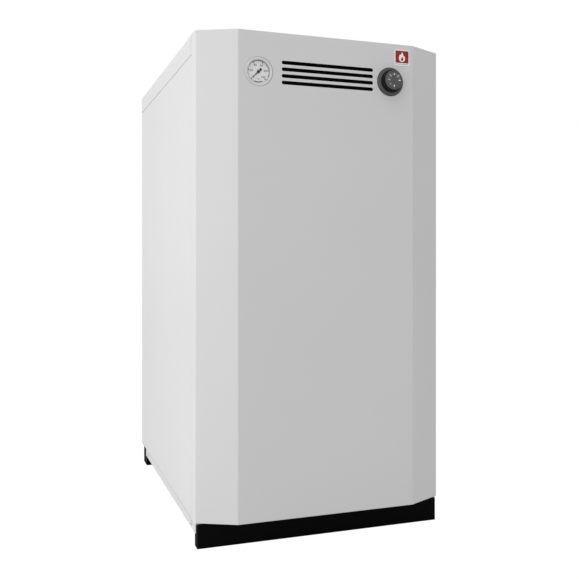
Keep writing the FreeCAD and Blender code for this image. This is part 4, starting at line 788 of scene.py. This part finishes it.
def rounded_loop(points, rounds=2):
    """Cuts the corners of a closed outline, once in each round."""
    for _ in range(rounds):
        cut = []
        for k, (x, y) in enumerate(points):
            nx, ny = points[(k + 1) % len(points)]
            cut.append((x * 0.75 + nx * 0.25, y * 0.75 + ny * 0.25))
            cut.append((x * 0.25 + nx * 0.75, y * 0.25 + ny * 0.75))
        points = cut
    return points


# ---------- painted seam shadow ---

# section of the strip in mm: out from the tray's edge, and up from its top
SHADOW_STRIP_SECTION = [(-3, 0.03), (0.03, 0.03), (0.03, -0.8), (1.2, -0.8), (1.9, -0.1), (1.9, 1.2),
                (1.65, 1.45), (-3, 1.45)]


def build_seam_shadow_strips():
    """Dark grey strips in the step between each side panel's foot and the tray's rail: a painted shadow
    standing in for the shadow line along the seam.
    """
    tray_low, tray_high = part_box("base_tray")
    strips = Shape()
    for node, side in (("left_side_panel", -1), ("right_side_panel", 1)):
        panel_low, panel_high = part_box(node)
        edge = tray_high.x if side > 0 else tray_low.x
        rings = [[Vector((edge + side * u * MM, y, tray_high.z + v * MM)) for u, v in SHADOW_STRIP_SECTION]
                 for y in (panel_low.y + 2 * MM, panel_high.y - 3 * MM)]
        strips.loops(rings)
    # the strips' dark grey is painted shadow along the panels' feet
    strips.piece("panel_foot_seam_shadow", "housing_grey", "boiler", None, "seal_foam")


# ---------- screws, nuts and threads ----------

def screw_head(shape, place, radius, height):
    """Phillips pan head standing on the place: a domed rim around a cross-shaped recess."""
    arm, reach, floor = radius * 0.17, radius * 0.58, height * 0.35
    cross = [(arm, arm), (arm, reach), (-arm, reach), (-arm, arm), (-reach, arm), (-reach, -arm),
             (-arm, -arm), (-arm, -reach), (arm, -reach), (arm, -arm), (reach, -arm), (reach, arm)]
    lip = []
    for k, (u, v) in enumerate(cross):
        nu, nv = cross[(k + 1) % len(cross)]
        lip += [(u + (nu - u) * share, v + (nv - v) * share) for share in (0, 1 / 3, 2 / 3)]
    turns = [math.atan2(v, u) for u, v in lip]
    dome = [(0.93, 0), (1, 0.15), (1, 0.45), (0.93, 0.78), (0.76, 0.96)]
    rings = [[polar(place, radius * wide, turn, height * up) for turn in turns] for wide, up in dome]
    rings.append([place @ Vector((u, v, height)) for u, v in lip])
    rings.append([place @ Vector((u * 0.82, v * 0.82, floor)) for u, v in lip])
    shape.loops(rings)


def build_screws():
    """Pan-head screws with their shanks, one for each of the CAD screws."""
    work = frame["nodes"]["casing_screws"].data
    screws = Shape()
    for low_corner, high_corner in islands("casing_screws"):
        size = high_corner - low_corner
        axis = max(range(3), key=lambda i: size[i])
        across = [i for i in range(3) if i != axis]
        centre = (low_corner + high_corner) / 2
        # where the head's rim is along the screw's axis: only the head is this wide
        wide = [v.co[axis] for v in work.vertices
                if all(low_corner[i] - LIFT < v.co[i] < high_corner[i] + LIFT for i in range(3))
                and max(abs(v.co[i] - centre[i]) for i in across) > size[across[0]] * 0.45]
        outward = 1 if sum(wide) / len(wide) > centre[axis] else -1
        seat = min(wide) if outward > 0 else max(wide)
        normal = [0, 0, 0]
        normal[axis] = outward
        spot = list(centre)
        spot[axis] = seat + outward * LIFT
        radius, head_h = size[across[0]] / 2, max(wide) - min(wide)
        driven = 0.5 + 7 * centre.z + 11 * centre.y
        place = facing(normal, spot) @ Matrix.Rotation(driven, 4, "Z")
        screw_head(screws, place, radius, head_h - 2 * LIFT)
        shank = place @ Matrix.Rotation(math.pi, 4, "X")
        helix_rod(screws, shank, radius * 0.42, 0.8 * MM, size[axis] - head_h, 0.14 * MM)
    piece = screws.piece("casing_screw_set", "zinc_screws", "boiler", 40)
    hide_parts("casing_screws")


def helix_rod(shape, place, radius, pitch, length, depth, steps=20):
    """A rod whose skin carries a thread: crests at radius, roots depth further in."""
    per_turn = 4
    rows = int(length / pitch * per_turn)
    rings = []
    for row in range(rows + 1):
        height = length * row / rows
        ring = []
        for k in range(steps):
            phase = (height / pitch - k / steps) % 1
            cover = min(1, row / 3, (rows - row) / 3)
            dip = depth * abs(2 * phase - 1) * cover + depth * (1 - cover)
            turn = math.tau * k / steps
            ring.append(polar(place, radius - dip, turn, height))
        rings.append(ring)
    shape.loops(rings)


def hex_ring(place, turns, radius, limit, height):
    """A hexagon's outline, its corners cut back to a limit radius."""
    ring = []
    for turn in turns:
        inside = (turn - turns[0]) % math.radians(60) - math.radians(30)
        flat = radius * math.cos(math.radians(30)) / math.cos(inside)
        ring.append(polar(place, min(flat, limit), turn, height))
    return ring


def build_nuts():
    """Chamfered hexagon nuts on threaded studs, over washers."""
    stud_out = 9 * MM
    nuts = Shape()
    for low_corner, high_corner in islands("burner_plate_nuts"):
        centre = (low_corner + high_corner) / 2
        seat = low_corner.y + stud_out
        place = facing(FRONT, (centre.x, seat - LIFT, centre.z))
        radius = (high_corner.x - low_corner.x) / 2
        first = math.radians(11 + 40 * centre.x)
        turns = [first + math.tau * k / 36 for k in range(36)]
        nuts.turned(place, [(radius * 1.12, 0), (radius * 1.12, 0.5 * MM), (radius * 1.08, 0.6 * MM)], 36)
        chamfers = [(0.9, 0.6 * MM + LIFT), (0.97, 0.9 * MM), (0.97, 4.5 * MM), (0.86, 5 * MM)]
        nuts.loops([hex_ring(place, turns, radius * 0.97, radius * limit, height)
                    for limit, height in chamfers])
        stud = place @ Matrix.Translation((0, 0, 4.2 * MM))
        helix_rod(nuts, stud, 2.85 * MM, 1 * MM, stud_out - 4.3 * MM, 0.3 * MM, 24)
    piece = nuts.piece("burner_plate_nut_set", "zinc_screws", "boiler", 35)
    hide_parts("burner_plate_nuts")


def threaded_pipe(name, node, slot):
    """Steel pipe with a screw thread at its rear end and an open bore."""
    low_corner, high_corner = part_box(node)
    centre = (low_corner + high_corner) / 2
    length, radius = high_corner.y - low_corner.y, (high_corner.x - low_corner.x) / 2
    place = facing(BACK, (centre.x, low_corner.y, centre.z))
    crest, bore, run, pitch, depth = 29.8 * MM, 26.5 * MM, 30 * MM, 2.309 * MM, 1.1 * MM
    steps, last = 64, 90
    start = length - run
    rows = [(0, None), (start - 0.6 * MM, None)]
    rows += [(start + run * k / last, k) for k in range(last + 1)]
    rings = []
    for height, k in rows:
        ring = []
        for n in range(steps):
            turn = math.tau * n / steps
            r = radius
            if k is not None:
                phase = ((height - start) / pitch - n / steps) % 1
                cover = min(1, k / 6, (last - k) / 4)
                run_out = 0.9 if k > last / 2 else 0.1
                r = crest - depth * (abs(2 * phase - 1) * cover + run_out * (1 - cover))
            ring.append(polar(place, r, turn, height))
        rings.append(ring)
    for height in (length, 0):
        rings.append([polar(place, bore, math.tau * n / steps, height) for n in range(steps)])
    pipe = Shape()
    pipe.loops(rings, closed_ends=False)
    made = pipe.piece(name, slot, "boiler", 50)
    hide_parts(node)


# ---------- insulation ----------

QUILT, SOFT_EDGE = 2.4 * MM, 5 * MM
DENT, DENT_REACH = 4 * MM, 16 * MM
WASHER_SINK = 4.5 * MM
POCKET_HOLE, POCKET_CLEAR = 10 * MM, 45 * MM
PIPE_HOLE, PIPE_CLEAR = 31.5 * MM, 60 * MM


def pad_surface(u, v, seed, depth):
    """Height of a quilted, slightly crushed blanket at a point of its face."""
    wave = noise.noise(Vector((u * 9 + seed, v * 9, seed))) * 0.6
    wave += noise.noise(Vector((u * 31, v * 31 + seed, seed + 4))) * 0.3
    return depth * (wave - 0.5)


def blanket(shape, place, width, height, thick, seed, holes=(), pins=(), step=9 * MM):
    """A foil-faced slab: its face is quilted down at the pins, and its edges are rounded."""
    columns, rows = max(4, round(width / step)), max(4, round(height / step))
    verts_front, verts_back = {}, {}

    def spot(i, j):
        return -width / 2 + width * i / columns, -height / 2 + height * j / rows

    for i in range(columns + 1):
        for j in range(rows + 1):
            u, v = spot(i, j)
            edge = min(width / 2 - abs(u), height / 2 - abs(v))
            inset = 1 - min(1, edge / (2.2 * step))
            bulge = pad_surface(u, v, seed, QUILT)
            dent = 0
            for pu, pv in pins:
                away = math.hypot(u - pu, v - pv)
                dent = max(dent, math.exp(-(away / DENT_REACH) ** 2))
            w = thick + bulge * (1 - inset) - SOFT_EDGE * inset ** 2 - DENT * dent
            w = min(w, thick - 0.3 * MM)
            verts_front[i, j] = shape.mesh.verts.new(place @ Vector((u, v, w)))
            verts_back[i, j] = shape.mesh.verts.new(place @ Vector((u, v, 0.2 * MM)))

    def open_cell(i, j):
        u, v = spot(i + 0.5, j + 0.5)
        return any(math.hypot(u - hu, v - hv) < radius for hu, hv, radius in holes)

    filled = {(i, j) for i in range(columns) for j in range(rows) if not open_cell(i, j)}
    rims = set()
    for i, j in sorted(filled):
        corners = [(i, j), (i + 1, j), (i + 1, j + 1), (i, j + 1)]
        shape.face([verts_front[c] for c in corners])
        shape.face([verts_back[c] for c in corners[::-1]])
        for (a, b), beside in zip(zip(corners, corners[1:] + corners[:1]),
                                  ((i, j - 1), (i + 1, j), (i, j + 1), (i - 1, j))):
            if beside not in filled:
                shape.face((verts_front[a], verts_back[a], verts_back[b], verts_front[b]))
                if 0 <= beside[0] < columns and 0 <= beside[1] < rows:
                    rims.update((a, b))
    # the stepped rim of each hole is drawn onto its circle
    for i, j in sorted(rims):
        u, v = spot(i, j)
        hu, hv, radius = min(holes, key=lambda hole: math.hypot(u - hole[0], v - hole[1]))
        scale = radius / math.hypot(u - hu, v - hv)
        for vertex in (verts_front[i, j], verts_back[i, j]):
            w = (place.inverted() @ vertex.co).z
            vertex.co = place @ Vector((hu + (u - hu) * scale, hv + (v - hv) * scale, w))
    for vertex in list(verts_front.values()) + list(verts_back.values()):
        if not vertex.link_faces:
            shape.mesh.verts.remove(vertex)


def pin_grid(width, height, columns, rows, skip=()):
    """Evenly spread fixings, without those inside a circle that is kept free."""
    spots = []
    for i in range(columns):
        for j in range(rows):
            u = -width / 2 + width * (i + 0.5) / columns
            v = -height / 2 + height * (j + 0.5) / rows
            if all(math.hypot(u - su, v - sv) > radius for su, sv, radius in skip):
                spots.append((u, v))
    return spots


def build_insulation():
    """Foil-faced mineral wool with pins and washers: the front pad and the three-sided wrap."""
    washers = Shape()
    low_corner, high_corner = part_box("front_insulation_pad")
    size = high_corner - low_corner
    centre = (low_corner + high_corner) / 2
    pocket_low, pocket_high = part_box("sensor_pocket")
    pocket = (pocket_low + pocket_high) / 2
    hole = (pocket.x - centre.x, pocket.z - centre.z, POCKET_HOLE)
    front = Shape()
    place = facing(FRONT, (centre.x, high_corner.y, centre.z))
    pins = pin_grid(size.x, size.z, 3, 3, [(hole[0], hole[1], POCKET_CLEAR)])
    blanket(front, place, size.x, size.z, size.y, seed=3.0, holes=[hole], pins=pins)
    finish_pins(washers, place, size.y, pins)
    pad = front.piece("front_wool_pad", "wool_foil", "boiler", 60)
    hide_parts("front_insulation_pad")

    wrap = Shape()
    pipes = [middle("flow_pipe"), middle("return_pipe")]
    for low_corner, high_corner in islands("insulation_jacket"):
        size = high_corner - low_corner
        centre = (low_corner + high_corner) / 2
        if size.x < size.y:
            way = 1 if centre.x > 0 else -1
            inner = low_corner.x if way > 0 else high_corner.x
            place = facing((way, 0, 0), (inner, centre.y, centre.z))
            pins = pin_grid(size.y, size.z, 3, 4)
            blanket(wrap, place, size.y, size.z, size.x, seed=7.0 + way, pins=pins, step=14 * MM)
            finish_pins(washers, place, size.x, pins)
        else:
            place = facing(BACK, (centre.x, low_corner.y, centre.z))
            holes = [(centre.x - pipe.x, pipe.z - centre.z, PIPE_HOLE) for pipe in pipes]
            pins = pin_grid(size.x, size.z, 3, 4, [(u, v, PIPE_CLEAR) for u, v, _ in holes])
            blanket(wrap, place, size.x, size.z, size.y, seed=12.0, holes=holes, pins=pins,
                    step=12 * MM)
            finish_pins(washers, place, size.y, pins)
    around = wrap.piece("wool_wrap", "wool_foil", "boiler", 60)
    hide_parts("insulation_jacket")
    washers.piece("wool_pin_washers", "bright_steel", "boiler", 35)


def finish_pins(shape, place, thick, pins):
    """A round clip washer with its pin at each fixing of the wool."""
    for u, v in pins:
        clip = place @ Matrix.Translation((u, v, thick - WASHER_SINK))
        shape.turned(clip, [(10 * MM, 0), (10.5 * MM, 0.4 * MM), (10 * MM, 0.9 * MM), (3 * MM, 1.6 * MM),
                            (1.6 * MM, 1.7 * MM)], 24)
        pin = clip @ Matrix.Translation((0, 0, 1.75 * MM))
        shape.turned(pin, [(1.3 * MM, 0), (1.3 * MM, 1.6 * MM), (0.8 * MM, 2 * MM)], 12)


make_stage()
paint_frame()
build_gauge()
build_knob()
build_badge()
build_seam_shadow_strips()
build_screws()
build_nuts()
threaded_pipe("flow_pipe_threaded", "flow_pipe", "gas_pipe")
threaded_pipe("return_pipe_threaded", "return_pipe", "gas_pipe")
build_insulation()
